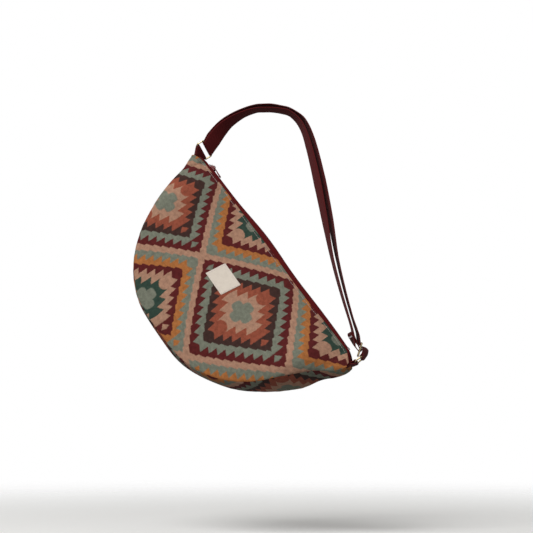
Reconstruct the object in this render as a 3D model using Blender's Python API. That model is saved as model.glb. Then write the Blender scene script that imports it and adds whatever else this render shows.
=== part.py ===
"""Crescent crossbody bag of printed cloth, hanging aslant from the crest of its doubled strap.

The bag is built in its own frame, with x along the zip, y from front to back and z up from the
zip line. An empty carries that frame to where the bag hangs. The strap is built in the world
frame, whose origin is the underside of the strap at its crest, with z up and the front at -y.
"""

import math

import bmesh
import bpy
import numpy as np
from mathutils import Matrix, Vector

# Hanging pose
ZIP_TILT = math.radians(52.94)
BAG_YAW = math.radians(18.0)
# Where the left ring's centre hangs
RING_HANGS_AT = Vector((-0.09281, -0.00962, -0.05818))

# Cut of the bag
HALF_LENGTH = 0.200
PANEL_HEIGHT = 0.203
LEFT_REACH = 0.1955
RIGHT_REACH = 0.2022
MID_HALF_DEPTH = 0.043
END_HALF_DEPTH = 0.0148
DEPTH_RUN = 0.100
FRONT_DOME = 0.015
BACK_DOME = 0.010
DOME_RUN = 0.120
GUSSET_BULGE = 0.005
# How far the back's lower edge is drawn along and up from the front's, at shares of its length
BACK_SHARES = [0.0, 0.35, 0.50, 0.66, 0.77, 0.88, 1.0]
BACK_ALONG = [0.0060, 0.0, 0.0, -0.0035, -0.0040, 0.0032, 0.0]
BACK_UP = [0.0050, 0.0045, 0.0052, 0.0070, 0.0046, -0.0010, 0.0]
SEAM_EASE = 0.010
# Points of the lower edge as shares of half the length and of the drop, from the middle outwards
LEFT_EDGE_SHARES = [(0.285, 0.978), (0.520, 0.864), (0.695, 0.682), (0.8125, 0.463), (0.895, 0.281)]
RIGHT_EDGE_SHARES = [(0.282, 0.982), (0.528, 0.872), (0.708, 0.692), (0.826, 0.468), (0.906, 0.286)]
# Points round each corner, measured from the corner's furthest reach
LEFT_CORNER = [(0.0095, -0.035), (0.0030, -0.021), (0.0, -0.0125)]
RIGHT_CORNER = [(0.0080, -0.040), (0.0015, -0.027), (0.0, -0.0190)]

# Zip edge
ZIP_EDGE_DROP = 0.003
ZIP_EDGE_HALF_GAP = 0.0065
LEFT_BEND = 0.0195
RIGHT_BEND = 0.0242
LEFT_DIP = 0.0055
RIGHT_DIP = 0.008
CORNER_STEP = 0.0015
LIP_STEP = 0.0045
CORNER_SHARE = 0.03

# Cloth
WALL = 0.0016
SEAM_GAP = 0.0003
LAYER_GAP = 0.0004
LINING_WALL = 0.0006
LINING_GAP = 0.0009
COLUMNS = 40
PANEL_ROWS = [0.0, 0.045, 0.14, 0.27, 0.41, 0.56, 0.71, 0.86, 1.0]
GUSSET_ROWS = [0.25, 0.5, 0.75]
LINING_COLUMNS = [4, 5, 6, 7, 8, 10, 12, 14, 16, 18, 20, 22, 24, 26, 28, 30, 32, 33, 34, 35, 36]
LINING_ROWS = [1, 2, 4, 6, 8, 10, 12, 14, 16, 18, 19]

# Zip
TAPE_WALL = 0.0006
TAPE_SHARE = 0.6
TAPE_INSET_LEFT = 0.0065
TAPE_INSET_LEFT_BACK = 0.0145
TAPE_INSET_RIGHT = 0.0077
CHAIN_SLIT = 0.0014
CHAIN_INSET_LEFT = 0.0265
CHAIN_INSET_RIGHT = 0.0262
CHAIN_LEFT = CHAIN_INSET_LEFT - LEFT_REACH
CHAIN_RIGHT = RIGHT_REACH - CHAIN_INSET_RIGHT
TOOTH_PITCH = 0.0036
TOOTH_WIDTH = 0.0021
TOOTH_ROOT = 0.0020
SPINE_EDGE = 0.0029
CHAIN_HEIGHT = 0.0014
STOP_LENGTH = 0.0024
STOP_EDGE = 0.0040
RUNNING_GAP = 0.0003

# Zip slider and pull
SLIDER_PARK = 0.0042
SLIDER_X = CHAIN_LEFT + SLIDER_PARK
SLIDER_LENGTH = 0.0090
SLIDER_NOSE = 0.0090
SLIDER_TAIL = 0.0078
SLIDER_PLATE = 0.0008
SLIDER_FLANGE = 0.0010
FOOT_WIDTH = 0.0072
POST_LENGTH = 0.0014
CROWN_WALL = 0.0010
CROWN_WIDTH = 0.0012
PULL_WALL = 0.0011
PULL_LENGTH = 0.0185
PULL_WIDTH = 0.0052
PULL_DROOP = math.radians(4.0)
PULL_PLAY = 0.00035

# Label
LABEL_WIDTH = 0.040
LABEL_HEIGHT = 0.031
LABEL_WALL = 0.0006
LABEL_CENTRE = (-0.0083, -0.0830)
LABEL_TILT = math.radians(-1.4)
LABEL_LEAN = math.radians(6.9)

# Webbing and hardware
WEB_WIDTH = 0.025
WEB_WALL = 0.0014
WEB_GAP = 0.0006
LOOP_PLAY = 0.0006
WIRE = 0.0024
RING_PLAY = 0.0020
RING_HEIGHT = 0.0114
RING_CORNER = 0.0024
GLIDE_HEIGHT = 0.0190
GLIDE_BAR = 0.0022
GLIDE_CORNER = 0.0030
TAB_DEPTH = 0.0055
WEB_STRIPS = 4
WEB_STEP = 0.010
TAB_STEP = 0.0014

# Where rings, tabs and strap slider sit: how far in from the corner's reach, and the height
LEFT_RING_SPOT = (0.0001, 0.0075)
LEFT_TAB_SPOT = (0.0043, -0.0050)
RIGHT_RING_SPOT = (0.0022, 0.0025)
RIGHT_TAB_SPOT = (0.0042, -0.0118)
GLIDE_SPOT = (0.0138, 0.0124)
LEFT_RING_BAR = Vector((0.0156, 0.0198, -0.0032)).normalized()
RIGHT_RING_BAR = Vector((-0.15, 0.989, 0.0)).normalized()
GLIDE_DOWN = Vector((0.608, 0.0, -0.794)).normalized()
GLIDE_BAR_AXIS = Vector((-0.309, 0.951, 0.0)).normalized()

# Where the folded strap end leaves and meets the strap slider's middle bar, in degrees
GLIDE_WRAP = (-120.0, 120.0)

# Strap route in world metres: x and z midway between the strands, depth, roll in degrees, and
# the distance from strand to strand
CREST_FLAT = 0.0050
CREST_ROLL = 15.0
CREST_SPREAD = 0.0056
ARCH_CENTRE = Vector((0.030, -0.040, -0.110))
LEFT_ROUTE = [
    (-0.0790, -0.0415, -0.0080, 56.0, 0.0048),
    (-0.0668, -0.0260, -0.0060, 44.0, 0.0042),
    (-0.0552, -0.0154, -0.0040, 32.0, 0.0042),
    (-0.0360, -0.0040, -0.0020, 20.0, 0.0046),
    (-0.0173, 0.0025, -0.0004, 15.0, 0.0052),
]
RIGHT_ROUTE = [
    (0.0173, 0.0015, -0.0004, 15.0, 0.0046),
    (0.0326, -0.0030, -0.0040, 16.0, 0.0040),
    (0.0497, -0.0186, -0.0100, 18.0, 0.0069),
    (0.0615, -0.0479, -0.0220, 20.0, 0.0080),
    (0.0751, -0.1058, -0.0440, 24.0, 0.0086),
    (0.0865, -0.1636, -0.0670, 18.0, 0.0089),
    (0.0967, -0.2189, -0.0880, 8.0, 0.0075),
    (0.1079, -0.2653, -0.1080, 6.0, 0.0062),
    (0.1192, -0.3055, -0.1240, 4.0, 0.0054),
]
# Webbing at the strap slider in the bag's frame: how far in from the right corner's reach, y, z
# and roll
END_FOLD_OUT = [
    (0.0389, -0.0082, 0.0192, 6.0),
    (0.0332, -0.0063, 0.0159, 10.0),
    (0.0256, -0.0038, 0.0146, 6.0),
    (0.0200, -0.0020, 0.0144, 0.0),
]
END_FOLD_BACK = [
    (0.0200, -0.0020, 0.0098, 0.0),
    (0.0256, -0.0038, 0.0114, 8.0),
    (0.0314, -0.0057, 0.0130, 12.0),
    (0.0368, -0.0075, 0.0142, 13.0),
    (0.0404, -0.0086, 0.0140, 13.0),
]
OUTER_RUN = [
    (0.0359, -0.0072, 0.0248, 4.0),
    (0.0286, -0.0048, 0.0213, 2.0),
    (0.0214, -0.0025, 0.0174, 0.0),
    (0.0169, -0.0010, 0.0170, 0.0),
]
BULGE = [(0.0117, 0.0004, 0.0186, 0.0), (0.0066, 0.0, 0.0171, 0.0), (0.0022, 0.0, 0.0134, 0.0)]
BULGE_LINING = [(0.0060, 0.0, 0.0118, 0.0), (0.0085, 0.0, 0.0148, 0.0)]

BAG_TURN = Matrix.Rotation(ZIP_TILT, 4, "Y") @ Matrix.Rotation(-BAG_YAW, 4, "Z")
LEFT_RING_CENTRE = Vector((LEFT_RING_SPOT[0] - LEFT_REACH, 0.0, LEFT_RING_SPOT[1]))
BAG_POSE = Matrix.Translation(RING_HANGS_AT - BAG_TURN @ LEFT_RING_CENTRE) @ BAG_TURN


def clear_scene():
    """Remove what the scene holds."""
    for item in list(bpy.data.objects):
        bpy.data.objects.remove(item, do_unlink=True)


def make_material(name, color, roughness, metallic=0.0):
    """One Principled material."""
    material = bpy.data.materials.new(name)
    material.use_nodes = True
    shader = material.node_tree.nodes["Principled BSDF"]
    shader.inputs["Base Color"].default_value = (*color, 1.0)
    shader.inputs["Roughness"].default_value = roughness
    shader.inputs["Metallic"].default_value = metallic
    return material


def make_object(name, verts, faces, material, parent=None, origin=(0.0, 0.0, 0.0), smooth=True):
    """A mesh object whose vertices are given in its parent's frame, with its own origin."""
    start = Vector(origin)
    mesh = bpy.data.meshes.new(name)
    mesh.from_pydata([tuple(Vector(v) - start) for v in verts], [], faces)
    work = bmesh.new()
    work.from_mesh(mesh)
    bmesh.ops.recalc_face_normals(work, faces=work.faces)
    work.to_mesh(mesh)
    work.free()
    if smooth:
        mesh.shade_smooth()
        mesh.set_sharp_from_angle(angle=math.radians(35.0))
    mesh.materials.append(material)
    item = bpy.data.objects.new(name, mesh)
    bpy.context.collection.objects.link(item)
    item.parent = parent
    item.location = start
    return item


def two_triangles(a, b, c, d):
    """A quad as two triangles that share the diagonal from a to c."""
    return [(a, b, c), (a, c, d)]


def sheet_solid(outer, inner):
    """Vertices and triangles of a sheet between two grids of the same size."""
    columns, rows, _ = outer.shape
    verts = [tuple(p) for p in outer.reshape(-1, 3)] + [tuple(p) for p in inner.reshape(-1, 3)]
    shift = columns * rows

    def at(i, j):
        return i * rows + j

    faces = []
    for i in range(columns - 1):
        for j in range(rows - 1):
            cell = (at(i, j), at(i + 1, j), at(i + 1, j + 1), at(i, j + 1))
            faces += two_triangles(*cell)
            faces += [tuple(k + shift for k in reversed(face)) for face in two_triangles(*cell)]
    rim = [at(i, 0) for i in range(columns)]
    rim += [at(columns - 1, j) for j in range(1, rows)]
    rim += [at(i, rows - 1) for i in range(columns - 2, -1, -1)]
    rim += [at(0, j) for j in range(rows - 2, 0, -1)]
    for k, a in enumerate(rim):
        b = rim[(k + 1) % len(rim)]
        if a < b:
            faces += two_triangles(a, a + shift, b + shift, b)
        else:
            faces += two_triangles(b, a, a + shift, b + shift)
    return verts, faces


def smooth_curve(points, per_span):
    """Points on a Catmull-Rom curve through the given points."""
    pts = [np.array(p, dtype=float) for p in points]
    pts = [2 * pts[0] - pts[1]] + pts + [2 * pts[-1] - pts[-2]]
    curve = []
    for k in range(1, len(pts) - 2):
        p0, p1, p2, p3 = pts[k - 1 : k + 3]
        for step in range(per_span):
            t = step / per_span
            curve.append(
                0.5 * (2 * p1 + (p2 - p0) * t + (2 * p0 - 5 * p1 + 4 * p2 - p3) * t**2
                       + (3 * p1 - p0 - 3 * p2 + p3) * t**3)
            )
    curve.append(pts[-2])
    return np.array(curve)


def smoothstep(x):
    """Ease from 0 to 1."""
    x = np.clip(x, 0.0, 1.0)
    return x * x * (3.0 - 2.0 * x)


def left_spot(spot):
    """A point at the left corner, from its inset and height."""
    return Vector((spot[0] - LEFT_REACH, 0.0, spot[1]))


def right_spot(spot):
    """A point at the right corner, from its inset and height."""
    return Vector((RIGHT_REACH - spot[0], 0.0, spot[1]))


def lower_edge():
    """The lower edge of the front from corner to corner, as a dense curve of x and z."""
    left = [(-HALF_LENGTH * x, -PANEL_HEIGHT * z) for x, z in LEFT_EDGE_SHARES]
    left += [(-LEFT_REACH + x, z) for x, z in LEFT_CORNER]
    right = [(HALF_LENGTH * x, -PANEL_HEIGHT * z) for x, z in RIGHT_EDGE_SHARES]
    right += [(RIGHT_REACH - x, z) for x, z in RIGHT_CORNER]
    points = left[::-1] + [(0.0, -PANEL_HEIGHT)] + right
    return smooth_curve(points, 12)


def spread_columns():
    """Shares of the lower edge's length, closer together near the two corners."""
    even = np.linspace(0.0, 1.0, COLUMNS + 1)
    bunched = 0.5 - 0.5 * np.cos(np.pi * even)
    return 0.45 * even + 0.55 * bunched


def zip_edge(x):
    """Height and half gap of the panels' top edge at x."""
    left = np.clip((LEFT_BEND - LEFT_REACH - x) / (LEFT_BEND - CORNER_STEP), 0.0, 1.0)
    right = np.clip((RIGHT_BEND - RIGHT_REACH + x) / (RIGHT_BEND - LIP_STEP), 0.0, 1.0)
    height = -ZIP_EDGE_DROP - LEFT_DIP * left**1.6 - RIGHT_DIP * right**1.5
    widening = 1.0 - (1.0 - np.maximum(left, right)) ** 2.5
    half_gap = ZIP_EDGE_HALF_GAP + (END_HALF_DEPTH - ZIP_EDGE_HALF_GAP) * widening
    return height, half_gap


def back_lift(share):
    """How far the back's lower edge is drawn along x and z from the front's."""
    along = np.interp(share, BACK_SHARES, BACK_ALONG)
    return along, np.interp(share, BACK_SHARES, BACK_UP)


def skin_grid():
    """The bag's outer skin as a grid: columns along the bag, rows from front top to back top."""
    edge = lower_edge()
    run = np.concatenate([[0.0], np.cumsum(np.linalg.norm(np.diff(edge, axis=0), axis=1))])
    length = run[-1]
    share = spread_columns()
    low_x = np.interp(share * length, run, edge[:, 0])
    low_z = np.interp(share * length, run, edge[:, 1])
    slope = np.stack([np.gradient(low_x, share), np.gradient(low_z, share)], axis=1)
    slope /= np.linalg.norm(slope, axis=1)[:, None]
    out_x, out_z = slope[:, 1], -slope[:, 0]
    near_end = np.minimum(share, 1.0 - share) * length
    swell = smoothstep(near_end / DEPTH_RUN)
    half_depth = END_HALF_DEPTH + (MID_HALF_DEPTH - END_HALF_DEPTH) * swell
    top_left = low_x[0] + CORNER_STEP
    top_x = top_left + (low_x[-1] - LIP_STEP - top_left) * share
    top_z, half_gap = zip_edge(top_x)
    span = np.hypot(low_x - top_x, low_z - top_z)
    lift_x, lift_z = back_lift(share)
    rows = []
    for r in PANEL_ROWS:
        puff = (1.0 - abs(2.0 * r - 1.0) ** 2.5) * smoothstep(span / DOME_RUN)
        y = -(half_gap + (half_depth - half_gap) * r) - FRONT_DOME * puff
        rows.append(np.stack([top_x + (low_x - top_x) * r, y, top_z + (low_z - top_z) * r], axis=1))
    for v in GUSSET_ROWS:
        bulge = GUSSET_BULGE * 4.0 * v * (1.0 - v) * swell
        x = low_x + lift_x * v + out_x * bulge
        z = low_z + lift_z * v + out_z * bulge
        rows.append(np.stack([x, half_depth * (2.0 * v - 1.0), z], axis=1))
    back_x = low_x + lift_x
    back_z = low_z + lift_z
    corner = 1.0 - smoothstep(share / CORNER_SHARE)
    lead_x = top_x + lift_x * corner
    lead_z = top_z + lift_z * corner
    for r in PANEL_ROWS[::-1]:
        puff = (1.0 - abs(2.0 * r - 1.0) ** 2.5) * smoothstep(span / DOME_RUN)
        y = half_gap + (half_depth - half_gap) * r + BACK_DOME * puff
        x = lead_x + (back_x - lead_x) * r
        rows.append(np.stack([x, y, lead_z + (back_z - lead_z) * r], axis=1))
    return np.stack(rows, axis=1)


def patch_normals(patch):
    """Outward normals of one panel's grid."""
    along = np.gradient(patch, axis=0)
    across = np.gradient(patch, axis=1)
    normals = np.cross(across, along)
    return normals / np.linalg.norm(normals, axis=2)[:, :, None]


def mitre(first, second):
    """The vector that offsets two meeting sheets by one thickness each."""
    return (first + second) / (1.0 + np.sum(first * second, axis=1))[:, None]


def skin_offsets(skin):
    """Outward offset vectors of the whole skin, mitred along the two seams."""
    last = len(PANEL_ROWS) - 1
    back = last + len(GUSSET_ROWS) + 1
    front_n = patch_normals(skin[:, : last + 1])
    gusset_n = patch_normals(skin[:, last : back + 1])
    back_n = patch_normals(skin[:, back:])
    front_mitre = mitre(front_n[:, -1], gusset_n[:, 0])
    back_mitre = mitre(gusset_n[:, -1], back_n[:, 0])
    ease_rows(skin[:, : last + 1], front_n, -1, front_mitre)
    ease_rows(skin[:, last : back + 1], gusset_n, 0, front_mitre)
    ease_rows(skin[:, last : back + 1], gusset_n, -1, back_mitre)
    ease_rows(skin[:, back:], back_n, 0, back_mitre)
    return np.concatenate([front_n[:, :-1], gusset_n, back_n[:, 1:]], axis=1)


def ease_rows(patch, normals, seam, seam_offset):
    """Lead the rows of one panel into the mitre at its seam, so that they never cross."""
    away = np.linalg.norm(patch - patch[:, seam][:, None, :], axis=2)
    reach = np.minimum(away.max(axis=1), SEAM_EASE)[:, None]
    share = np.clip(1.0 - away / reach, 0.0, 1.0)
    normals += share[:, :, None] * (seam_offset - normals[:, seam])[:, None, :]


def draw_back(grid, row, inner_row):
    """Move one boundary row off its seam, squarely into its panel."""
    seam = np.gradient(grid[:, row], axis=0)
    seam /= np.linalg.norm(seam, axis=1)[:, None]
    pull = grid[:, inner_row] - grid[:, row]
    pull -= seam * np.sum(pull * seam, axis=1)[:, None]
    size = np.linalg.norm(pull, axis=1)[:, None]
    grid[:, row] += pull / size * np.minimum(SEAM_GAP * 0.7, size * 0.4)


def panel_solid(skin, inside, first, last, seam_rows):
    """One panel cut from the skin, with its seam rows drawn back."""
    outer = skin[:, first : last + 1].copy()
    inner = inside[:, first : last + 1].copy()
    for row in seam_rows:
        step = 1 if row == 0 else row - 1
        draw_back(outer, row, step)
        draw_back(inner, row, step)
    return sheet_solid(outer, inner)


def lining_solid(inside, offsets):
    """The pouch inside the panels, open along the zip only."""
    cut = np.ix_(LINING_COLUMNS, LINING_ROWS)
    outer = (inside - offsets * LINING_GAP)[cut]
    inner = (inside - offsets * (LINING_GAP + LINING_WALL))[cut]
    inner[0, :, 0] += LINING_WALL
    inner[-1, :, 0] -= LINING_WALL
    columns, rows, _ = outer.shape
    count = columns * rows
    verts = [tuple(p) for p in outer.reshape(-1, 3)] + [tuple(p) for p in inner.reshape(-1, 3)]
    faces = []
    for i in range(columns - 1):
        for j in range(rows - 1):
            a = i * rows + j
            cell = (a, a + rows, a + rows + 1, a + 1)
            faces += two_triangles(*cell)
            faces += [tuple(k + count for k in reversed(face)) for face in two_triangles(*cell)]
        for j in (0, rows - 1):
            a = i * rows + j
            faces += two_triangles(a, a + count, a + rows + count, a + rows)
    for i in (0, columns - 1):
        ring = [i * rows + j for j in range(rows)]
        for shift, grid in ((0, outer), (count, inner)):
            hub = len(verts)
            verts.append(tuple(grid[i].mean(axis=0)))
            for k, a in enumerate(ring):
                b = ring[(k + 1) % rows]
                faces.append((a + shift, b + shift, hub))
        a, b = ring[0], ring[-1]
        faces += two_triangles(a, a + count, b + count, b)
    return verts, faces


def skin_at(grid, top_x, x, row_share):
    """A point of a grid at x along the top edge, and at a share of the way to its second row."""
    first = np.array([np.interp(x, top_x, grid[:, 0, k]) for k in range(3)])
    second = np.array([np.interp(x, top_x, grid[:, 1, k]) for k in range(3)])
    return first + (second - first) * row_share


def tape_solid(skin, inside, offsets, side):
    """One zip tape: flat beside the teeth, then down inside the panel."""
    order = slice(None) if side < 0 else slice(None, None, -1)
    skin, inside, offsets = skin[:, order], inside[:, order], offsets[:, order]
    top_x = skin[:, 0, 0]
    left = (TAPE_INSET_LEFT if side < 0 else TAPE_INSET_LEFT_BACK) - LEFT_REACH
    right = RIGHT_REACH - TAPE_INSET_RIGHT
    between = top_x[(top_x > left + TAPE_WALL) & (top_x < right - TAPE_WALL)]
    stations = np.concatenate([[left], between, [right]])
    outer = []
    inner = []
    for x in stations:
        height, _ = zip_edge(x)
        level = height + ZIP_EDGE_DROP
        top = skin_at(inside, top_x, x, 0.0)
        low = skin_at(inside, top_x, x, TAPE_SHARE)
        top_out = skin_at(offsets, top_x, x, 0.0)
        low_out = skin_at(offsets, top_x, x, TAPE_SHARE)
        bend = top - top_out * LAYER_GAP
        foot = low - low_out * LAYER_GAP
        inner_bend = bend - top_out * TAPE_WALL
        inner_foot = foot - low_out * TAPE_WALL
        lip = side * CHAIN_SLIT / 2
        outer.append([(x, lip, level), (x, bend[1], level), tuple(bend), tuple(foot)])
        under = level - TAPE_WALL
        inner.append([(x, lip, under), (x, inner_bend[1], under), tuple(inner_bend), tuple(inner_foot)])
    return sheet_solid(np.array(outer), np.array(inner))


def comb_solid(side):
    """One row of zip teeth on its spine, as one toothed strip."""
    shift = 0.25 * TOOTH_PITCH if side < 0 else 0.75 * TOOTH_PITCH
    count = int((CHAIN_RIGHT - CHAIN_LEFT) / TOOTH_PITCH) - 1
    tip = side * CHAIN_SLIT / 2
    root = side * TOOTH_ROOT
    outline = [(CHAIN_RIGHT, side * SPINE_EDGE), (CHAIN_LEFT, side * SPINE_EDGE), (CHAIN_LEFT, root)]
    for k in range(count):
        start = CHAIN_LEFT + shift + TOOTH_PITCH * k
        end = start + TOOTH_WIDTH
        outline += [(start, root), (start, tip), (end, tip), (end, root)]
    outline.append((CHAIN_RIGHT, root))
    return slab_solid(outline, [], RUNNING_GAP, RUNNING_GAP + CHAIN_HEIGHT)


def box_solid(low, high):
    """A box between two corners."""
    xs, ys, zs = zip(low, high)
    verts = [(x, y, z) for x in xs for y in ys for z in zs]
    faces = [(0, 1, 3, 2), (4, 6, 7, 5), (0, 4, 5, 1), (2, 3, 7, 6), (0, 2, 6, 4), (1, 5, 7, 3)]
    return verts, faces


def slab_solid(outline, holes, low, high):
    """A flat plate of one outline with holes, between two heights."""
    work = bmesh.new()
    for loop in [outline] + holes:
        corners = [work.verts.new((x, y, low)) for x, y in loop]
        for k, corner in enumerate(corners):
            work.edges.new((corner, corners[(k + 1) % len(corners)]))
    bmesh.ops.triangle_fill(work, edges=work.edges[:], use_beauty=True, normal=(0.0, 0.0, 1.0))
    floor = work.faces[:]
    lifted = bmesh.ops.extrude_face_region(work, geom=floor, use_keep_orig=True)["geom"]
    tops = [v for v in lifted if isinstance(v, bmesh.types.BMVert)]
    bmesh.ops.translate(work, verts=tops, vec=(0.0, 0.0, high - low))
    work.verts.index_update()
    verts = [tuple(v.co) for v in work.verts]
    faces = [tuple(v.index for v in face.verts) for face in work.faces]
    work.free()
    return verts, faces


def rounded_rectangle(width, height, radius, steps=4, centre=(0.0, 0.0)):
    """Corner points of a rectangle with round corners, anticlockwise."""
    points = []
    for k, (sx, sy) in enumerate(((1, 1), (-1, 1), (-1, -1), (1, -1))):
        cx = centre[0] + sx * (width / 2 - radius)
        cy = centre[1] + sy * (height / 2 - radius)
        for step in range(steps + 1):
            angle = math.pi / 2 * (k + step / steps)
            points.append((cx + radius * math.cos(angle), cy + radius * math.sin(angle)))
    return points


def add_bevel(item, width, segments=2):
    """Round the edges of a rigid piece."""
    bevel = item.modifiers.new("Rounded edges", "BEVEL")
    bevel.width = width
    bevel.segments = segments
    bevel.limit_method = "ANGLE"
    bevel.angle_limit = math.radians(40.0)
    bevel.use_clamp_overlap = True


def join_by_union(item, verts, faces, name):
    """Fuse another solid to an object, kept as a hidden guide."""
    guide = make_object(name, verts, faces, item.data.materials[0], item.parent, item.location, False)
    guide.hide_render = True
    guide.display_type = "WIRE"
    union = item.modifiers.new(name, "BOOLEAN")
    union.operation = "UNION"
    union.solver = "EXACT"
    union.object = guide


def make_panels(cloth, lining_cloth, frame):
    """The three outer panels and the lining."""
    skin = skin_grid()
    offsets = skin_offsets(skin)
    inside = skin - offsets * WALL
    last = len(PANEL_ROWS) - 1
    back = last + len(GUSSET_ROWS) + 1
    end = skin.shape[1] - 1
    make_object("front_panel", *panel_solid(skin, inside, 0, last, [last]), cloth, frame)
    gusset = panel_solid(skin, inside, last, back, [0, back - last])
    make_object("bottom_gusset", *gusset, cloth, frame)
    make_object("back_panel", *panel_solid(skin, inside, back, end, [0]), cloth, frame)
    make_object("lining", *lining_solid(inside, offsets), lining_cloth, frame)
    return skin, inside, offsets


def make_zip(skin, inside, offsets, red, frame):
    """Tapes, teeth and stops."""
    for side, word in ((-1, "front"), (1, "back")):
        tape = tape_solid(skin, inside, offsets, side)
        make_object("zip_tape_" + word, *tape, red, frame)
        make_object("zip_teeth_" + word, *comb_solid(side), red, frame, smooth=False)
        ends = CHAIN_LEFT - RUNNING_GAP
        ys = sorted((side * CHAIN_SLIT / 2, side * STOP_EDGE))
        low = (ends - STOP_LENGTH, ys[0], RUNNING_GAP)
        high = (ends, ys[1], RUNNING_GAP + CHAIN_HEIGHT)
        make_object("zip_stop_" + word, *box_solid(low, high), red, frame, smooth=False)
    start = CHAIN_RIGHT + RUNNING_GAP
    low = (start, -STOP_EDGE, RUNNING_GAP)
    high = (start + STOP_LENGTH, STOP_EDGE, RUNNING_GAP + CHAIN_HEIGHT)
    make_object("zip_stop_end", *box_solid(low, high), red, frame, smooth=False)


def crown_outline(reach, inner_top, base):
    """The arch over the slider that the pull hangs in, as x and height."""
    outer = [(-reach, base), (-reach, inner_top), (-reach * 0.55, inner_top + CROWN_WALL)]
    outer += [(-x, z) for x, z in outer[::-1]]
    bore = reach - CROWN_WALL
    inner = [(bore, base), (bore, inner_top - 0.0004), (bore * 0.5, inner_top)]
    inner += [(-x, z) for x, z in inner[::-1]]
    return outer + inner


def pull_height():
    """Height of the pull's crossbar above the tape."""
    return RUNNING_GAP + CHAIN_HEIGHT + RUNNING_GAP + SLIDER_PLATE + 2 * RUNNING_GAP + PULL_WALL / 2


def make_zip_slider(red, frame):
    """The slider round the teeth, with its post and the crown for the pull."""
    half = SLIDER_LENGTH / 2
    plate_low = RUNNING_GAP + CHAIN_HEIGHT + RUNNING_GAP
    plate_high = plate_low + SLIDER_PLATE
    nose = SLIDER_NOSE / 2
    tail = SLIDER_TAIL / 2
    outline = [(half, -tail), (half, tail), (-half * 0.2, nose), (-half, nose * 0.7)]
    outline += [(-half, -nose * 0.7), (-half * 0.2, -nose)]
    moved = [(SLIDER_X + x, y) for x, y in outline]
    verts, faces = slab_solid(moved, [], plate_low, plate_high)
    origin = (SLIDER_X, 0.0, 0.0)
    slider = make_object("zip_slider", verts, faces, red, frame, origin, False)
    for side in (-1, 1):
        ys = sorted((side * (SPINE_EDGE + RUNNING_GAP), side * tail))
        low = (SLIDER_X - half * 0.9, ys[0], RUNNING_GAP * 1.2)
        high = (SLIDER_X + half, ys[1], plate_low + SLIDER_PLATE * 0.5)
        join_by_union(slider, *box_solid(low, high), "slider_flange_" + ("a" if side < 0 else "b"))
    foot_high = -TAPE_WALL - RUNNING_GAP
    foot = rounded_rectangle(SLIDER_LENGTH, FOOT_WIDTH, FOOT_WIDTH * 0.25, 3, (SLIDER_X, 0.0))
    join_by_union(slider, *slab_solid(foot, [], foot_high - SLIDER_PLATE, foot_high), "slider_foot")
    post = CHAIN_SLIT / 2 - RUNNING_GAP
    low = (SLIDER_X - half * 0.96, -post, foot_high - SLIDER_PLATE * 0.5)
    high = (low[0] + POST_LENGTH, post, plate_low + SLIDER_PLATE * 0.5)
    join_by_union(slider, *box_solid(low, high), "slider_post")
    reach = PULL_WALL / 2 + PULL_PLAY + CROWN_WALL + 0.0004
    inner_top = pull_height() + PULL_WALL / 2 + PULL_PLAY
    arch = crown_outline(reach, inner_top, plate_high - SLIDER_PLATE * 0.5)
    verts, faces = slab_solid([(x, z) for x, z in arch], [], -CROWN_WIDTH / 2, CROWN_WIDTH / 2)
    upright = [(SLIDER_X + x, -y, z) for x, z, y in verts]
    join_by_union(slider, upright, faces, "slider_crown")


def make_zip_pull(red, frame):
    """The pull, whose crossbar lies under the crown."""
    reach = PULL_WALL / 2 + PULL_PLAY + CROWN_WALL + 0.0004
    slot_start = PULL_WALL / 2
    slot_end = math.hypot(reach, PULL_WALL / 2 + PULL_PLAY + CROWN_WALL) + PULL_PLAY
    slot_width = CROWN_WIDTH + 2 * PULL_PLAY
    tail = PULL_LENGTH
    wide = PULL_WIDTH / 2
    outline = [(-PULL_WALL / 2, -wide * 0.8), (slot_end + 0.001, -wide), (tail * 0.55, -wide * 0.62)]
    outline += [(tail * 0.82, -wide * 0.9), (tail * 0.97, -wide * 0.6), (tail, 0.0)]
    outline += [(x, -y) for x, y in outline[-2::-1]]
    slot = [(slot_start, -slot_width / 2), (slot_end, -slot_width / 2)]
    slot += [(x, -y) for x, y in slot[::-1]]
    verts, faces = slab_solid(outline, [slot], -PULL_WALL / 2, PULL_WALL / 2)
    pull = make_object("zip_pull", verts, faces, red, frame, smooth=False)
    pull.location = (SLIDER_X, 0.0, pull_height())
    pull.rotation_euler = (0.0, PULL_DROOP, 0.0)
    add_bevel(pull, 0.0002, 1)


def front_point(skin, offsets, x, z):
    """The point of the front panel's faces over x and z, and the outward normal there."""
    rows = len(PANEL_ROWS)
    front = skin[:, :rows]
    best = None
    for i in range(front.shape[0] - 1):
        for j in range(rows - 1):
            corners = ((i, j), (i + 1, j), (i + 1, j + 1), (i, j + 1))
            for pick in ((0, 1, 2), (0, 2, 3)):
                a, b, c = [front[corners[k]] for k in pick]
                det = (b[0] - a[0]) * (c[2] - a[2]) - (c[0] - a[0]) * (b[2] - a[2])
                if abs(det) < 1e-12:
                    continue
                u = ((x - a[0]) * (c[2] - a[2]) - (c[0] - a[0]) * (z - a[2])) / det
                v = ((b[0] - a[0]) * (z - a[2]) - (x - a[0]) * (b[2] - a[2])) / det
                miss = max(-u, -v, u + v - 1.0, 0.0)
                if best is None or miss < best[0]:
                    normal = [offsets[corners[k]] for k in pick]
                    blend = normal[0] * (1 - u - v) + normal[1] * u + normal[2] * v
                    best = (miss, a + (b - a) * u + (c - a) * v, blend / np.linalg.norm(blend))
    return best[1], best[2]


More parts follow.
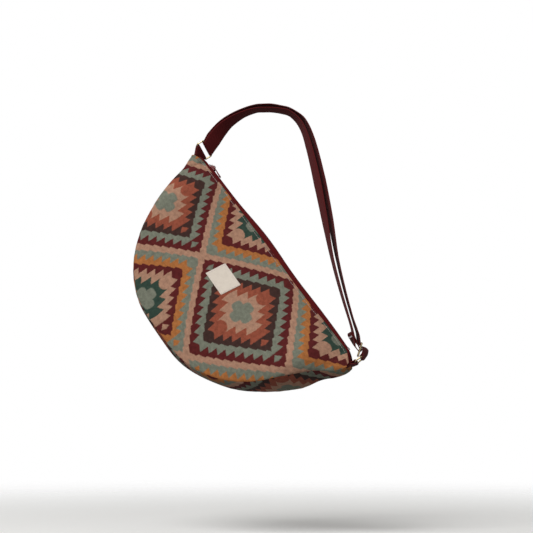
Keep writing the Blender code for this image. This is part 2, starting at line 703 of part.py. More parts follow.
def make_label(skin, offsets, cream, frame):
    """The sewn label, laid on the front panel."""
    along = (math.cos(LABEL_TILT), math.sin(LABEL_TILT))
    down = (-math.sin(LABEL_LEAN), -math.cos(LABEL_LEAN))
    outer = []
    inner = []
    for u in np.linspace(-0.5, 0.5, 7):
        top_row = []
        low_row = []
        for v in np.linspace(-0.5, 0.5, 6):
            x = LABEL_CENTRE[0] + u * LABEL_WIDTH * along[0] + v * LABEL_HEIGHT * down[0]
            z = LABEL_CENTRE[1] + u * LABEL_WIDTH * along[1] + v * LABEL_HEIGHT * down[1]
            point, normal = front_point(skin, offsets, x, z)
            top_row.append(point + normal * (LAYER_GAP + LABEL_WALL))
            low_row.append(point + normal * LAYER_GAP)
        outer.append(top_row)
        inner.append(low_row)
    make_object("label", *sheet_solid(np.array(outer), np.array(inner)), cream, frame)


def hardware_frame(centre, bar, up):
    """Axes of a ring or slider: side, bar and up, as vectors in the bag's frame."""
    up = (up - bar * up.dot(bar)).normalized()
    side = bar.cross(up).normalized()
    return centre, side, bar, up


def place(frame, a, b):
    """A point in a hardware frame's side view."""
    centre, side, _, up = frame
    return centre + side * a + up * b


def ring_solid(frame):
    """A rectangular wire ring with round corners."""
    centre, side, bar, up = frame
    width = WEB_WIDTH + RING_PLAY + WIRE
    path = rounded_rectangle(width, RING_HEIGHT, RING_CORNER, 4)
    count = len(path)
    sides = 8
    verts = []
    for k, (w, h) in enumerate(path):
        before = path[k - 1]
        after = path[(k + 1) % count]
        tangent = Vector((after[0] - before[0], after[1] - before[1])).normalized()
        out = bar * tangent.y - up * tangent.x
        for n in range(sides):
            angle = 2 * math.pi * n / sides
            spot = centre + bar * w + up * h
            spot = spot + (out * math.cos(angle) + side * math.sin(angle)) * WIRE / 2
            verts.append(tuple(spot))
    faces = []
    for k in range(count):
        for n in range(sides):
            a = k * sides + n
            b = k * sides + (n + 1) % sides
            c = ((k + 1) % count) * sides + (n + 1) % sides
            d = ((k + 1) % count) * sides + n
            faces.append((a, b, c, d))
    return verts, faces


def glide_solid(frame):
    """The strap slider: a flat frame of three bars."""
    centre, side, bar, up = frame
    width = WEB_WIDTH + RING_PLAY + 2 * GLIDE_BAR
    height = GLIDE_HEIGHT + GLIDE_BAR
    slot = (GLIDE_HEIGHT - 2 * GLIDE_BAR) / 2
    outline = rounded_rectangle(width, height, GLIDE_CORNER, 4)
    holes = []
    for sign in (-1, 1):
        spot = (0.0, sign * (slot + GLIDE_BAR) / 2)
        holes.append(rounded_rectangle(width - 2 * GLIDE_BAR, slot, 0.0008, 2, spot))
    verts, faces = slab_solid(outline, holes, -GLIDE_BAR / 2, GLIDE_BAR / 2)
    return [tuple(centre + bar * w + up * h + side * d) for w, h, d in verts], faces


def arc(frame, bar_height, start, end, steps):
    """Centreline points of webbing round a bar, by angle from the frame's side axis."""
    radius = WIRE / 2 + LOOP_PLAY + WEB_WALL / 2
    points = []
    for k in range(steps + 1):
        angle = math.radians(start + (end - start) * k / steps)
        points.append(place(frame, radius * math.cos(angle), bar_height + radius * math.sin(angle)))
    return points


def ribbon_solid(points, across):
    """A flat ribbon along points, whose width lies along the given vectors."""
    count = len(points)
    outer = []
    inner = []
    for k in range(count):
        tangent = (points[min(k + 1, count - 1)] - points[max(k - 1, 0)]).normalized()
        width = across[k].normalized()
        lift = tangent.cross(width).normalized() * WEB_WALL / 2
        line = [points[k] + width * WEB_WIDTH * (n / WEB_STRIPS - 0.5) for n in range(WEB_STRIPS + 1)]
        outer.append([tuple(spot + lift) for spot in line])
        inner.append([tuple(spot - lift) for spot in line])
    return sheet_solid(np.array(outer), np.array(inner))


def ease_path(knots, spacing):
    """A curve through knots of (point, width direction), sampled about every spacing."""
    points = [2 * knots[0][0] - knots[1][0]] + [k[0] for k in knots]
    points.append(2 * knots[-1][0] - knots[-2][0])
    spots = []
    widths = []
    for k in range(1, len(points) - 2):
        p0, p1, p2, p3 = points[k - 1 : k + 3]
        wa, wb = knots[k - 1][1], knots[k][1]
        span = (p2 - p1).length
        steps = max(1, round(span / spacing))
        before = (p1 - p0).length
        after = (p3 - p2).length
        m1 = (p2 - p0) * (span / (span + before))
        m2 = (p3 - p1) * (span / (span + after))
        for step in range(steps):
            t = step / steps
            h1 = 2 * t**3 - 3 * t**2 + 1
            h2 = t**3 - 2 * t**2 + t
            h3 = -2 * t**3 + 3 * t**2
            h4 = t**3 - t**2
            spots.append(p1 * h1 + m1 * h2 + p2 * h3 + m2 * h4)
            widths.append(wa.lerp(wb, t))
    spots.append(knots[-1][0].copy())
    widths.append(knots[-1][1].copy())
    return spots, widths


def tab_solid(frame, root, root_bar, bar_height):
    """A folded length of webbing: up from the corner, round a ring's lower bar, and back down."""
    _, side, bar, up = frame
    lean = (place(frame, 0.0, bar_height) - root).normalized()
    layer = (WEB_WALL + WEB_GAP) / 2
    across = root_bar.cross(lean).normalized()
    if across.dot(side) < 0.0:
        across = -across
    foot = root - lean * TAB_DEPTH
    waist_bar = (root_bar + bar * 0.6).normalized()
    knots = [(foot - across * layer, root_bar), (root - across * layer, waist_bar)]
    knots += [(p, bar) for p in arc(frame, bar_height, 210.0, -30.0, 10)]
    knots += [(root + across * layer, waist_bar), (foot + across * layer, root_bar)]
    return ribbon_solid(*ease_path(knots, TAB_STEP))


def rolled_width(point, tangent, roll):
    """Width direction of a strand: level with the depth, rolled towards the inside of the arch."""
    level = Vector((0.0, 1.0, 0.0))
    level = (level - tangent * level.dot(tangent)).normalized()
    inward = tangent.cross(level).normalized()
    if inward.dot(ARCH_CENTRE - point) < 0.0:
        inward = -inward
    angle = math.radians(roll)
    return level * math.cos(angle) + inward * math.sin(angle)


def strand_knots(route, side):
    """World knots of one strand along a route: side is 1 for the inner strand, -1 for the outer."""
    spots = [Vector((x, y, z)) for x, z, y, _, _ in route]
    knots = []
    for k, spot in enumerate(spots):
        tangent = (spots[min(k + 1, len(spots) - 1)] - spots[max(k - 1, 0)]).normalized()
        width = rolled_width(spot, tangent, route[k][3])
        inward = tangent.cross(width).normalized()
        if inward.dot(ARCH_CENTRE - spot) < 0.0:
            inward = -inward
        knots.append((spot + inward * (side * route[k][4] / 2), width))
    return knots


def crest_knots(side):
    """The flat stretch at the crest, whose underside holds the origin on the inner strand."""
    angle = math.radians(CREST_ROLL)
    width = Vector((0.0, math.cos(angle), -math.sin(angle)))
    normal = Vector((0.0, math.sin(angle), math.cos(angle)))
    height = WEB_WALL / 2 + (CREST_SPREAD if side < 0 else 0.0)
    return [(normal * height + Vector((x, 0.0, 0.0)), width) for x in (-CREST_FLAT, CREST_FLAT)]


def bag_knots(points, width):
    """World knots of points in the bag's frame, placed from the right corner's reach."""
    turn = BAG_POSE.to_3x3()
    bar = turn @ width
    down = turn @ Vector((0.0, 0.0, -1.0))
    knots = []
    for inset, y, z, roll in points:
        angle = math.radians(roll)
        across = (bar * math.cos(angle) + down * math.sin(angle)).normalized()
        knots.append((BAG_POSE @ Vector((RIGHT_REACH - inset, y, z)), across))
    return knots


def strap_knots(left_ring, right_ring, glide):
    """The whole length of webbing, from its folded end to the loop at the right ring."""
    turn = BAG_POSE.to_3x3()
    knots = bag_knots(END_FOLD_BACK, GLIDE_BAR_AXIS)[::-1]
    wrap = arc(glide, 0.0, GLIDE_WRAP[0], GLIDE_WRAP[1], 8)
    knots += [(BAG_POSE @ p, turn @ glide[2]) for p in wrap]
    knots += bag_knots(END_FOLD_OUT, GLIDE_BAR_AXIS)[::-1]
    inner = strand_knots(LEFT_ROUTE, 1) + crest_knots(1) + strand_knots(RIGHT_ROUTE, 1)
    knots += inner[::-1]
    loop = arc(left_ring, RING_HEIGHT / 2, 0.0, -180.0, 8)
    knots += [(BAG_POSE @ p, turn @ left_ring[2]) for p in loop]
    knots += strand_knots(LEFT_ROUTE, -1) + crest_knots(-1) + strand_knots(RIGHT_ROUTE, -1)
    knots += bag_knots(OUTER_RUN, GLIDE_BAR_AXIS)
    knots += bag_knots(BULGE, RIGHT_RING_BAR)
    loop = arc(right_ring, RING_HEIGHT / 2, 20.0, -180.0, 8)
    knots += [(BAG_POSE @ p, turn @ right_ring[2]) for p in loop]
    knots += bag_knots(BULGE_LINING, RIGHT_RING_BAR)
    return knots


def make_webbing(skin, burgundy, gold, frame):
    """Tabs, rings, strap slider and strap."""
    up = Vector((0.0, 0.0, 1.0))
    left_ring = hardware_frame(LEFT_RING_CENTRE, LEFT_RING_BAR, up)
    right_ring = hardware_frame(right_spot(RIGHT_RING_SPOT), RIGHT_RING_BAR, up)
    glide = hardware_frame(right_spot(GLIDE_SPOT), GLIDE_BAR_AXIS, -GLIDE_DOWN)
    lower = -RING_HEIGHT / 2
    left_axis = place(left_ring, 0.0, lower)
    right_axis = place(right_ring, 0.0, lower)
    make_object("ring_left", *ring_solid(left_ring), gold, frame, left_axis)
    make_object("ring_right", *ring_solid(right_ring), gold, frame, right_axis)
    slider = make_object("strap_slider", *glide_solid(glide), gold, frame, glide[0])
    add_bevel(slider, 0.0005, 2)
    seam = len(PANEL_ROWS) - 1
    back = seam + len(GUSSET_ROWS) + 1
    left_edge = (Vector(skin[0, back]) - Vector(skin[0, seam])).normalized()
    right_edge = (Vector(skin[-1, back]) - Vector(skin[-1, seam])).normalized()
    left_tab = tab_solid(left_ring, left_spot(LEFT_TAB_SPOT), left_edge, lower)
    make_object("tab_left", *left_tab, burgundy, frame)
    right_tab = tab_solid(right_ring, right_spot(RIGHT_TAB_SPOT), right_edge, lower)
    make_object("tab_right", *right_tab, burgundy, frame)
    points, across = ease_path(strap_knots(left_ring, right_ring, glide), WEB_STEP)
    make_object("strap_webbing", *ribbon_solid(points, across), burgundy)


def main():
    """Build every piece."""
    clear_scene()
    frame = bpy.data.objects.new("bag_frame", None)
    bpy.context.collection.objects.link(frame)
    frame.matrix_world = BAG_POSE
    cloth = make_material("printed_cloth", (0.20, 0.07, 0.05), 0.95)
    lining_cloth = make_material("lining_cloth", (0.05, 0.02, 0.02), 0.9)
    zip_red = make_material("zip_red", (0.12, 0.01, 0.01), 0.6)
    gloss_red = make_material("gloss_red", (0.25, 0.01, 0.01), 0.25)
    burgundy = make_material("burgundy_webbing", (0.09, 0.01, 0.014), 0.85)
    gold = make_material("pale_gold", (0.80, 0.70, 0.50), 0.25, 1.0)
    cream = make_material("label_cream", (0.70, 0.62, 0.50), 0.9)
    skin, inside, offsets = make_panels(cloth, lining_cloth, frame)
    make_zip(skin, inside, offsets, zip_red, frame)
    make_zip_slider(gloss_red, frame)
    make_zip_pull(gloss_red, frame)
    make_label(skin, offsets, cream, frame)
    make_webbing(skin, burgundy, gold, frame)


if __name__ == "__main__":
    main()
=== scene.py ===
"""Dressed model of a crescent crossbody bag of printed cloth, hanging from its webbing strap.

The file is laid out as an add-on: settings, one operator for each piece or group, and a panel.
Run as a script, it builds every piece over the packed parts of the bag.
"""

import math
from functools import wraps

import bmesh
import bpy
import numpy as np
from bpy.props import FloatProperty, FloatVectorProperty, IntProperty, PointerProperty
from mathutils import Matrix, Vector
from mathutils.bvhtree import BVHTree


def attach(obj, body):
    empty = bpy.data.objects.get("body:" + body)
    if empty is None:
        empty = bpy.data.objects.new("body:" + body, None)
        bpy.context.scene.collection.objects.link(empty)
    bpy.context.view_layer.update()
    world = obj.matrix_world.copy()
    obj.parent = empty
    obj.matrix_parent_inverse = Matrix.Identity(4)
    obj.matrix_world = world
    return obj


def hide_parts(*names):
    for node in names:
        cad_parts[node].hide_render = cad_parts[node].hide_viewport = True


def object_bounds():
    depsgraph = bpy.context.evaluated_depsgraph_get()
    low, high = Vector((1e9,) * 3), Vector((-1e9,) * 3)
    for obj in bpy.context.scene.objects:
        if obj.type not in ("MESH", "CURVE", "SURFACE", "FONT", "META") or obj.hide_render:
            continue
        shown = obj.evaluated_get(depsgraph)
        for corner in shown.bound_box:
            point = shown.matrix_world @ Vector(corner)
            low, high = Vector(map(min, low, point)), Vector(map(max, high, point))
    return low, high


bl_info = {
    "name": "Crescent Crossbody Bag",
    "version": (1, 0, 0),
    "blender": (4, 5, 0),
    "location": "3D View > Sidebar > Crescent Bag",
    "description": "Cloth, webbing, hardware and stitches of a crescent crossbody bag",
    "category": "Object",
}

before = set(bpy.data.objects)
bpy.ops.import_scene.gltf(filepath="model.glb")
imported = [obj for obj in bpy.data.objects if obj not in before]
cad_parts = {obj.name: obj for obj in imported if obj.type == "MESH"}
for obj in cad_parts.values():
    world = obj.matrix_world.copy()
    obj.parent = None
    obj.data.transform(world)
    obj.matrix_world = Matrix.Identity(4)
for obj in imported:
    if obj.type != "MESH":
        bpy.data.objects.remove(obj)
CAD_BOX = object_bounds()

# Hanging pose of the bag: x along the zip, y from front to back, z up from the zip line
ZIP_TILT = math.radians(52.94)
BAG_YAW = math.radians(18.0)
RING_HANGS_AT = Vector((-0.09281, -0.00962, -0.05818))

# Cut of the bag, in metres
HALF_LENGTH = 0.200
PANEL_HEIGHT = 0.203
LEFT_REACH = 0.1955
RIGHT_REACH = 0.2022
MID_HALF_DEPTH = 0.043
END_HALF_DEPTH = 0.0148
DEPTH_RUN = 0.100
FRONT_DOME = 0.015
BACK_DOME = 0.010
DOME_RUN = 0.120
GUSSET_BULGE = 0.005
BACK_SHARES = [0.0, 0.35, 0.50, 0.66, 0.77, 0.88, 1.0]
BACK_ALONG = [0.0060, 0.0, 0.0, -0.0035, -0.0040, 0.0032, 0.0]
BACK_UP = [0.0050, 0.0045, 0.0052, 0.0070, 0.0046, -0.0010, 0.0]
SEAM_EASE = 0.010
SAG_FADE = 0.045
LEFT_EDGE_SHARES = [(0.285, 0.978), (0.520, 0.864), (0.695, 0.682), (0.8125, 0.463), (0.895, 0.281)]
RIGHT_EDGE_SHARES = [(0.282, 0.982), (0.528, 0.872), (0.708, 0.692), (0.826, 0.468), (0.906, 0.286)]
LEFT_CORNER = [(0.0095, -0.035), (0.0030, -0.021), (0.0, -0.0125)]
RIGHT_CORNER = [(0.0080, -0.040), (0.0015, -0.027), (0.0, -0.0190)]
ZIP_EDGE_DROP = 0.003
ZIP_EDGE_HALF_GAP = 0.0065
LEFT_BEND = 0.0195
RIGHT_BEND = 0.0242
LEFT_DIP = 0.0055
RIGHT_DIP = 0.008
CORNER_STEP = 0.0015
LIP_STEP = 0.0045
CORNER_SHARE = 0.03
WALL = 0.0016
SEAM_GAP = 0.0003
LAYER_GAP = 0.0004
LINING_WALL = 0.0006
LINING_GAP = 0.0009

# The gusset's turned end: how far in from the right corner's reach, and z
END_FOLD_ROUTE = [
    (0.0032, -0.0240), (0.0022, -0.0200), (0.0015, -0.0165), (0.0018, -0.0135), (0.0032, -0.0120),
]
END_FOLD_HALF_WIDTH = 0.0131
END_FOLD_WALL = 0.0010

# Zip
TAPE_WALL = 0.0006
TAPE_SHARE = 0.027
TAPE_ROWS = 12
TAPE_INSET_LEFT = 0.0065
TAPE_INSET_LEFT_BACK = 0.0145
TAPE_INSET_RIGHT = 0.0050
CHAIN_LEFT = -0.1690
CHAIN_RIGHT = 0.1760
SPINE_EDGE = 0.0029
CHAIN_SLIT = 0.0014
SLIDER_X = CHAIN_LEFT + 0.0042
PULL_HEIGHT = 0.00395
PULL_DROOP = math.radians(4.0)

# How far the middle of the zip bows up, by x, and where the panels' top edges are cut lower
ZIP_RISE = [
    (-0.112, 0.0), (-0.092, 0.0005), (-0.075, 0.0015), (-0.055, 0.0028), (-0.038, 0.0036),
    (-0.020, 0.0037), (0.0, 0.0029), (0.020, 0.0017), (0.042, 0.0010), (0.062, 0.0008),
    (0.085, 0.0012), (0.110, 0.0014), (0.138, 0.0012), (0.155, 0.0008), (0.172, 0.0),
]
EDGE_CUT = [
    (0.000, 0.0), (0.028, 0.0010), (0.050, 0.0015), (0.090, 0.0015), (0.112, 0.0007), (0.130, 0.0)
]

# Label, on the front panel
LABEL_WIDTH = 0.040
LABEL_HEIGHT = 0.031
LABEL_WALL = 0.0006
LABEL_LIFT = LAYER_GAP * 0.6
LABEL_INSET = 0.0016
LABEL_CENTRE = (-0.0083, -0.0830)
LABEL_TILT = math.radians(-1.4)
LABEL_LEAN = math.radians(6.9)

# Webbing and hardware
WEB_WIDTH = 0.025
WEB_WALL = 0.0014
WEB_GAP = 0.0006
LOOP_PLAY = 0.0006
WIRE = 0.0024
RING_PLAY = 0.0020
RING_HEIGHT = 0.0114
RING_CORNER = 0.0024
TAB_DEPTH = 0.0055
LEFT_RING_SPOT = (0.0001, 0.0075)
LEFT_TAB_SPOT = (0.0043, -0.0050)
RIGHT_RING_SPOT = (0.0022, 0.0025)
RIGHT_TAB_SPOT = (0.0042, -0.0118)
GLIDE_SPOT = (0.0138, 0.0124)
LEFT_RING_BAR = Vector((0.0156, 0.0198, -0.0032)).normalized()
RIGHT_RING_BAR = Vector((-0.15, 0.989, 0.0)).normalized()
GLIDE_DOWN = Vector((0.608, 0.0, -0.794)).normalized()
GLIDE_BAR_AXIS = Vector((-0.309, 0.951, 0.0)).normalized()
GLIDE_WRAP = (-120.0, 120.0)

# How far the underside lies beside the top in a band's map
UNDERSIDE = 0.1

# Strap route in world metres: x and z midway between the strands, depth, roll in degrees, and
# the distance from strand to strand
CREST_FLAT = 0.0050
CREST_ROLL = 15.0
CREST_SPREAD = 0.0056
ARCH_CENTRE = Vector((0.030, -0.040, -0.110))
LEFT_ROUTE = [
    (-0.0790, -0.0415, -0.0080, 56.0, 0.0048),
    (-0.0668, -0.0260, -0.0060, 44.0, 0.0042),
    (-0.0552, -0.0154, -0.0040, 32.0, 0.0042),
    (-0.0360, -0.0040, -0.0020, 20.0, 0.0046),
    (-0.0173, 0.0025, -0.0004, 15.0, 0.0052),
]
RIGHT_ROUTE = [
    (0.0173, 0.0015, -0.0004, 15.0, 0.0046),
    (0.0326, -0.0030, -0.0040, 16.0, 0.0040),
    (0.0497, -0.0186, -0.0100, 18.0, 0.0069),
    (0.0615, -0.0479, -0.0220, 20.0, 0.0080),
    (0.0751, -0.1058, -0.0440, 24.0, 0.0086),
    (0.0865, -0.1636, -0.0670, 18.0, 0.0089),
    (0.0967, -0.2189, -0.0880, 8.0, 0.0075),
    (0.1079, -0.2653, -0.1080, 6.0, 0.0062),
    (0.1192, -0.3055, -0.1240, 4.0, 0.0054),
]
# Webbing at the strap slider in the bag's frame: how far in from the right corner's reach, y, z
# and roll
END_FOLD_OUT = [
    (0.0389, -0.0082, 0.0192, 6.0),
    (0.0332, -0.0063, 0.0159, 10.0),
    (0.0256, -0.0038, 0.0146, 6.0),
    (0.0200, -0.0020, 0.0144, 0.0),
]
END_FOLD_BACK = [
    (0.0200, -0.0020, 0.0098, 0.0),
    (0.0256, -0.0038, 0.0114, 8.0),
    (0.0314, -0.0057, 0.0130, 12.0),
    (0.0368, -0.0075, 0.0152, 13.0),
    (0.0395, -0.0084, 0.0157, 13.0),
]
OUTER_RUN = [
    (0.0359, -0.0072, 0.0248, 7.0),
    (0.0286, -0.0048, 0.0213, 11.0),
    (0.0214, -0.0025, 0.0174, 9.0),
    (0.0169, -0.0010, 0.0162, -2.0),
]
BULGE = [
    (0.0117, 0.0004, 0.0186, -11.0), (0.0066, 0.0, 0.0171, -20.0), (0.0022, 0.0, 0.0134, -14.0)
]
END_HEM = 0.0095
BULGE_LINING = [(0.0060, 0.0, 0.0118, 0.0), (0.0085, 0.0, 0.0148, 0.0)]

# Where the print's diamonds lie on the front, seen level with the zip from straight ahead:
# x and z in millimetres from LEVEL_CENTRE, then the place in the pattern's own steps
LEVEL_CENTRE = (0.011176, -0.20837)
PRINT_PINS = [
    (-137.1, 9.9, -2, -1), (-146.3, -34.1, -2, -0.5), (-155.2, -81.1, -2, 0),
    (-157.8, -131.0, -2, 0.5), (-153.5, -187.4, -2, 1),
    (-51.1, 2.1, -1, -1), (-55.3, -39.7, -1, -0.5), (-60.4, -86.9, -1, 0),
    (-62.0, -137.1, -1, 0.5), (-61.3, -189.4, -1, 1),
    (48.0, 0.5, 0, -1), (43.5, -40.5, 0, -0.5), (38.0, -90.0, 0, 0),
    (37.2, -142.4, 0, 0.5), (39.8, -191.0, 0, 1),
    (153.3, 0.8, 1, -1), (147.5, -37.6, 1, -0.5), (144.4, -86.1, 1, 0),
    (153.3, -133.9, 1, 0.5), (176.7, -168.2, 1, 1),
    (256.8, 12.2, 2, -1), (253.4, -16.3, 2, -0.5), (253.8, -50.5, 2, 0),
    (264.3, -82.7, 2, 0.5), (284.2, -104.1, 2, 1),
]

# The print's forms, in units from a diamond's middle. Limits are for the sum of both distances
TONES = ("Burgundy", "Sage", "Pink", "Orange", "Brown", "Rust", "Green")
PATTERN_UNITS = 70.5
LATTICE_LINE = 66.3
OUTER_TEETH = 52.2
INNER_LINE = 47.3
INNER_TEETH = 33.2
STAR_LIMIT = 19.8
STAR_PITCH = 7.4
STAR_LEAN = 4.2
STAR_TIP = 3.5
TOOTH_PITCH = 6.28
TOOTH_LEAN = 3.4
TOOTH_TIP = -1.9
TOOTH_SKEW = 0.12
STAIR = 2.2
SCOOP_AT = 25.0
SCOOP_RADIUS = 7.0
CLOVER_ARM = 6.4
CLOVER_RADIUS = 5.6

# Where the print lies on the other panels: along and across the gusset, how far it is drawn
# together across it, and a diamond's middle on the back
GUSSET_PRINT_START = 0.507
GUSSET_PRINT_ACROSS = 0.41
GUSSET_PRINT_SHARE = 0.75
BACK_PRINT_CENTRE = (0.031, -0.118)

# What the camera looks at, and how wide the picture is there
CAMERA_TARGET = Vector((-0.00216, -0.070, -0.22784))
FRAME_WIDTH = 0.7686
SENSOR_WIDTH = 36.0

BAG_TURN = Matrix.Rotation(ZIP_TILT, 4, "Y") @ Matrix.Rotation(-BAG_YAW, 4, "Z")
LEFT_RING_CENTRE = Vector((LEFT_RING_SPOT[0] - LEFT_REACH, 0.0, LEFT_RING_SPOT[1]))
BAG_POSE = Matrix.Translation(RING_HANGS_AT - BAG_TURN @ LEFT_RING_CENTRE) @ BAG_TURN


def colour(name, shown, description):
    """A colour setting, given as it shows on a screen."""
    linear = [c / 12.92 if c <= 0.04045 else ((c + 0.055) / 1.055) ** 2.4 for c in shown]
    return FloatVectorProperty(
        name=name, description=description, subtype="COLOR", size=3, min=0.0, max=1.0,
        default=linear,
    )


def length(name, metres, description):
    """A length setting."""
    return FloatProperty(name=name, description=description, default=metres, min=0.0, unit="LENGTH")


def share(name, value, description):
    """A setting from 0 to 1."""
    return FloatProperty(
        name=name, description=description, default=value, min=0.0, max=1.0, subtype="FACTOR"
    )


class CRESCENTBAG_PG_print(bpy.types.PropertyGroup):
    """The printed cloth."""

    burgundy: colour("Burgundy", (0.337, 0.126, 0.125), "Outer band of the first diamond")
    sage: colour("Sage", (0.447, 0.458, 0.404), "Outer band of the second diamond, and the middles")
    pink: colour("Dusty pink", (0.641, 0.490, 0.406), "Lattice between the diamonds")
    orange: colour("Orange", (0.642, 0.405, 0.225), "Toothed band of the second diamond")
    brown: colour("Dark brown", (0.240, 0.165, 0.149), "Toothed band of the first diamond")
    rust: colour("Rust", (0.543, 0.288, 0.218), "Inner band of the first diamond")
    green: colour("Dark green", (0.195, 0.262, 0.226), "Inner band of the second diamond")
    step: length("Pattern step", 0.10166, "From a diamond's middle to where four diamonds meet")
    thread: length("Thread pitch", 0.0008, "Distance between the cloth's threads")


class CRESCENTBAG_PG_cloth(bpy.types.PropertyGroup):
    """How the panels are sewn and how they lie."""

    roll_width: length("Seam roll width", 0.0065, "How far from a seam the cloth turns into it")
    roll_depth: length("Seam roll depth", 0.0013, "How deep the cloth turns into a seam")
    pucker: length("Pucker height", 0.00045, "Height of the ripples along the seams")
    sag: length("Sag", 0.0011, "Height of the slow rises and hollows of the panels")
    stitch_inset: length("Topstitch inset", 0.0050, "From the zip edge to the line of stitches")
    lining: colour("Lining", (0.25, 0.10, 0.10), "Lining cloth")
    label: colour("Label", (0.868, 0.824, 0.770), "Woven label")


class CRESCENTBAG_PG_webbing(bpy.types.PropertyGroup):
    """The strap and the tabs."""

    burgundy: colour("Webbing", (0.355, 0.086, 0.092), "Woven webbing")
    rib: length("Rib pitch", 0.0013, "Distance between the webbing's ribs")
    cup: length("Cup", 0.0005, "How much the webbing is cupped across its width")


class CRESCENTBAG_PG_zip(bpy.types.PropertyGroup):
    """The zip."""

    red: colour("Zip red", (0.33, 0.035, 0.045), "Tape and teeth")
    gloss: colour("Slider red", (0.38, 0.02, 0.035), "Painted slider and pull")
    tooth_pitch: length("Tooth pitch", 0.0015, "Distance between teeth of one row")
    tooth_radius: length("Tooth radius", 0.00042, "Half the thickness of a tooth")


class CRESCENTBAG_PG_stitches(bpy.types.PropertyGroup):
    """Sewing threads."""

    pitch: length("Stitch pitch", 0.0042, "From one stitch to the next")
    reach: length("Stitch length", 0.0033, "Length of one stitch")
    thread: length("Thread radius", 0.00032, "Half the thickness of the thread")
    light: colour("Light thread", (0.66, 0.60, 0.58), "Thread of the topstitch")
    pale: colour("Pale thread", (0.90, 0.86, 0.88), "Thread of the label and the strap's end")
    seed: IntProperty(name="Seed", description="Picks how the stitches vary", default=7, min=0)


class CRESCENTBAG_PG_metal(bpy.types.PropertyGroup):
    """Rings and strap slider."""

    gold: colour("Pale gold", (0.78, 0.71, 0.56), "Plated metal")
    roughness: share("Roughness", 0.22, "How dull the plating is")


class CRESCENTBAG_PG_stage(bpy.types.PropertyGroup):
    """Floor, lights and camera."""

    floor_drop: length("Floor drop", 0.205, "How far the floor lies below the bag")
    key: FloatProperty(
        name="Key light", description="Power of the main light", default=72.0, unit="POWER"
    )
    fill: FloatProperty(
        name="Fill light", description="Power of the second light", default=14.0, unit="POWER"
    )
    sky: share("Surrounding light", 0.50, "Strength of the light from all round")
    distance: length("Camera distance", 6.0, "From the camera to the bag")


GROUPS = {
    "crescentbag_print": CRESCENTBAG_PG_print,
    "crescentbag_cloth": CRESCENTBAG_PG_cloth,
    "crescentbag_webbing": CRESCENTBAG_PG_webbing,
    "crescentbag_zip": CRESCENTBAG_PG_zip,
    "crescentbag_stitches": CRESCENTBAG_PG_stitches,
    "crescentbag_metal": CRESCENTBAG_PG_metal,
    "crescentbag_stage": CRESCENTBAG_PG_stage,
}


# Shader helpers


class Term:
    """A number in a node tree. Arithmetic on it adds nodes to that tree."""

    def __init__(self, socket):
        self.socket = socket

    def then(self, operation, *others, clamp=False):
        """One step of arithmetic that starts with this number."""
        values = dict(enumerate((self, *others)))
        tree = self.socket.id_data
        node = put(tree, "ShaderNodeMath", values, operation=operation, use_clamp=clamp)
        return Term(node.outputs[0])

    def __add__(self, other):
        return self.then("ADD", other)

    def __sub__(self, other):
        return self.then("SUBTRACT", other)

    def __rsub__(self, other):
        return self * -1.0 + other

    def __mul__(self, other):
        return self.then("MULTIPLY", other)

    def __truediv__(self, other):
        return self.then("DIVIDE", other)

    def __pow__(self, other):
        return self.then("POWER", other)

    def __abs__(self):
        return self.then("ABSOLUTE")


def feed(socket, value):
    """Link a term or a socket to an input, or set the input to a plain value."""
    if isinstance(value, Term):
        value = value.socket
    if isinstance(value, bpy.types.NodeSocket):
        socket.id_data.links.new(value, socket)
    else:
        socket.default_value = value


def put(tree, kind, values=None, **settings):
    """A new node, with its settings and its inputs."""
    node = tree.nodes.new(kind)
    for key, value in settings.items():
        setattr(node, key, value)
    for key, value in (values or {}).items():
        feed(node.inputs[key], value)
    return node


def split(place):
    """The three numbers of a vector."""
    parts = put(place.id_data, "ShaderNodeSeparateXYZ", {0: place})
    return [Term(socket) for socket in parts.outputs]


def vector(operation, first, second):
    """One step of vector arithmetic."""
    values = {0: first, "Scale" if operation == "SCALE" else 1: second}
    return put(first.id_data, "ShaderNodeVectorMath", values, operation=operation).outputs[0]


def noise(place, scale, detail, roughness=0.5):
    """The outputs of cloudy noise over a place."""
    values = {"Vector": place, "Scale": scale, "Detail": detail, "Roughness": roughness}
    return put(place.id_data, "ShaderNodeTexNoise", values).outputs


def wave(value):
    """A row of round humps, one for each whole step of a value."""
    return abs((value * math.pi).then("SINE"))


def mixed(tree, factor, first, second, blend="MIX"):
    """Two colours mixed by a factor."""
    values = {0: factor, 6: first, 7: second}
    return put(tree, "ShaderNodeMix", values, data_type="RGBA", blend_type=blend).outputs[2]


def soft_step(above, softness):
    """1 where a value is above 0 and 0 where it is below, with a soft edge."""
    return (above / softness).then("ADD", 0.5, clamp=True)


def new_group(name, inputs, outputs):
    """An empty shader group with its sockets."""
    tree = bpy.data.node_groups.new(name, "ShaderNodeTree")
    for title, kind, value in inputs:
        socket = tree.interface.new_socket(title, in_out="INPUT", socket_type=kind)
        if value is not None:
            socket.default_value = value
    for title, kind in outputs:
        tree.interface.new_socket(title, in_out="OUTPUT", socket_type=kind)
    return tree, tree.nodes.new("NodeGroupInput"), tree.nodes.new("NodeGroupOutput")


def rgba(value):
    """A colour setting as a socket's value."""
    return (*value, 1.0)


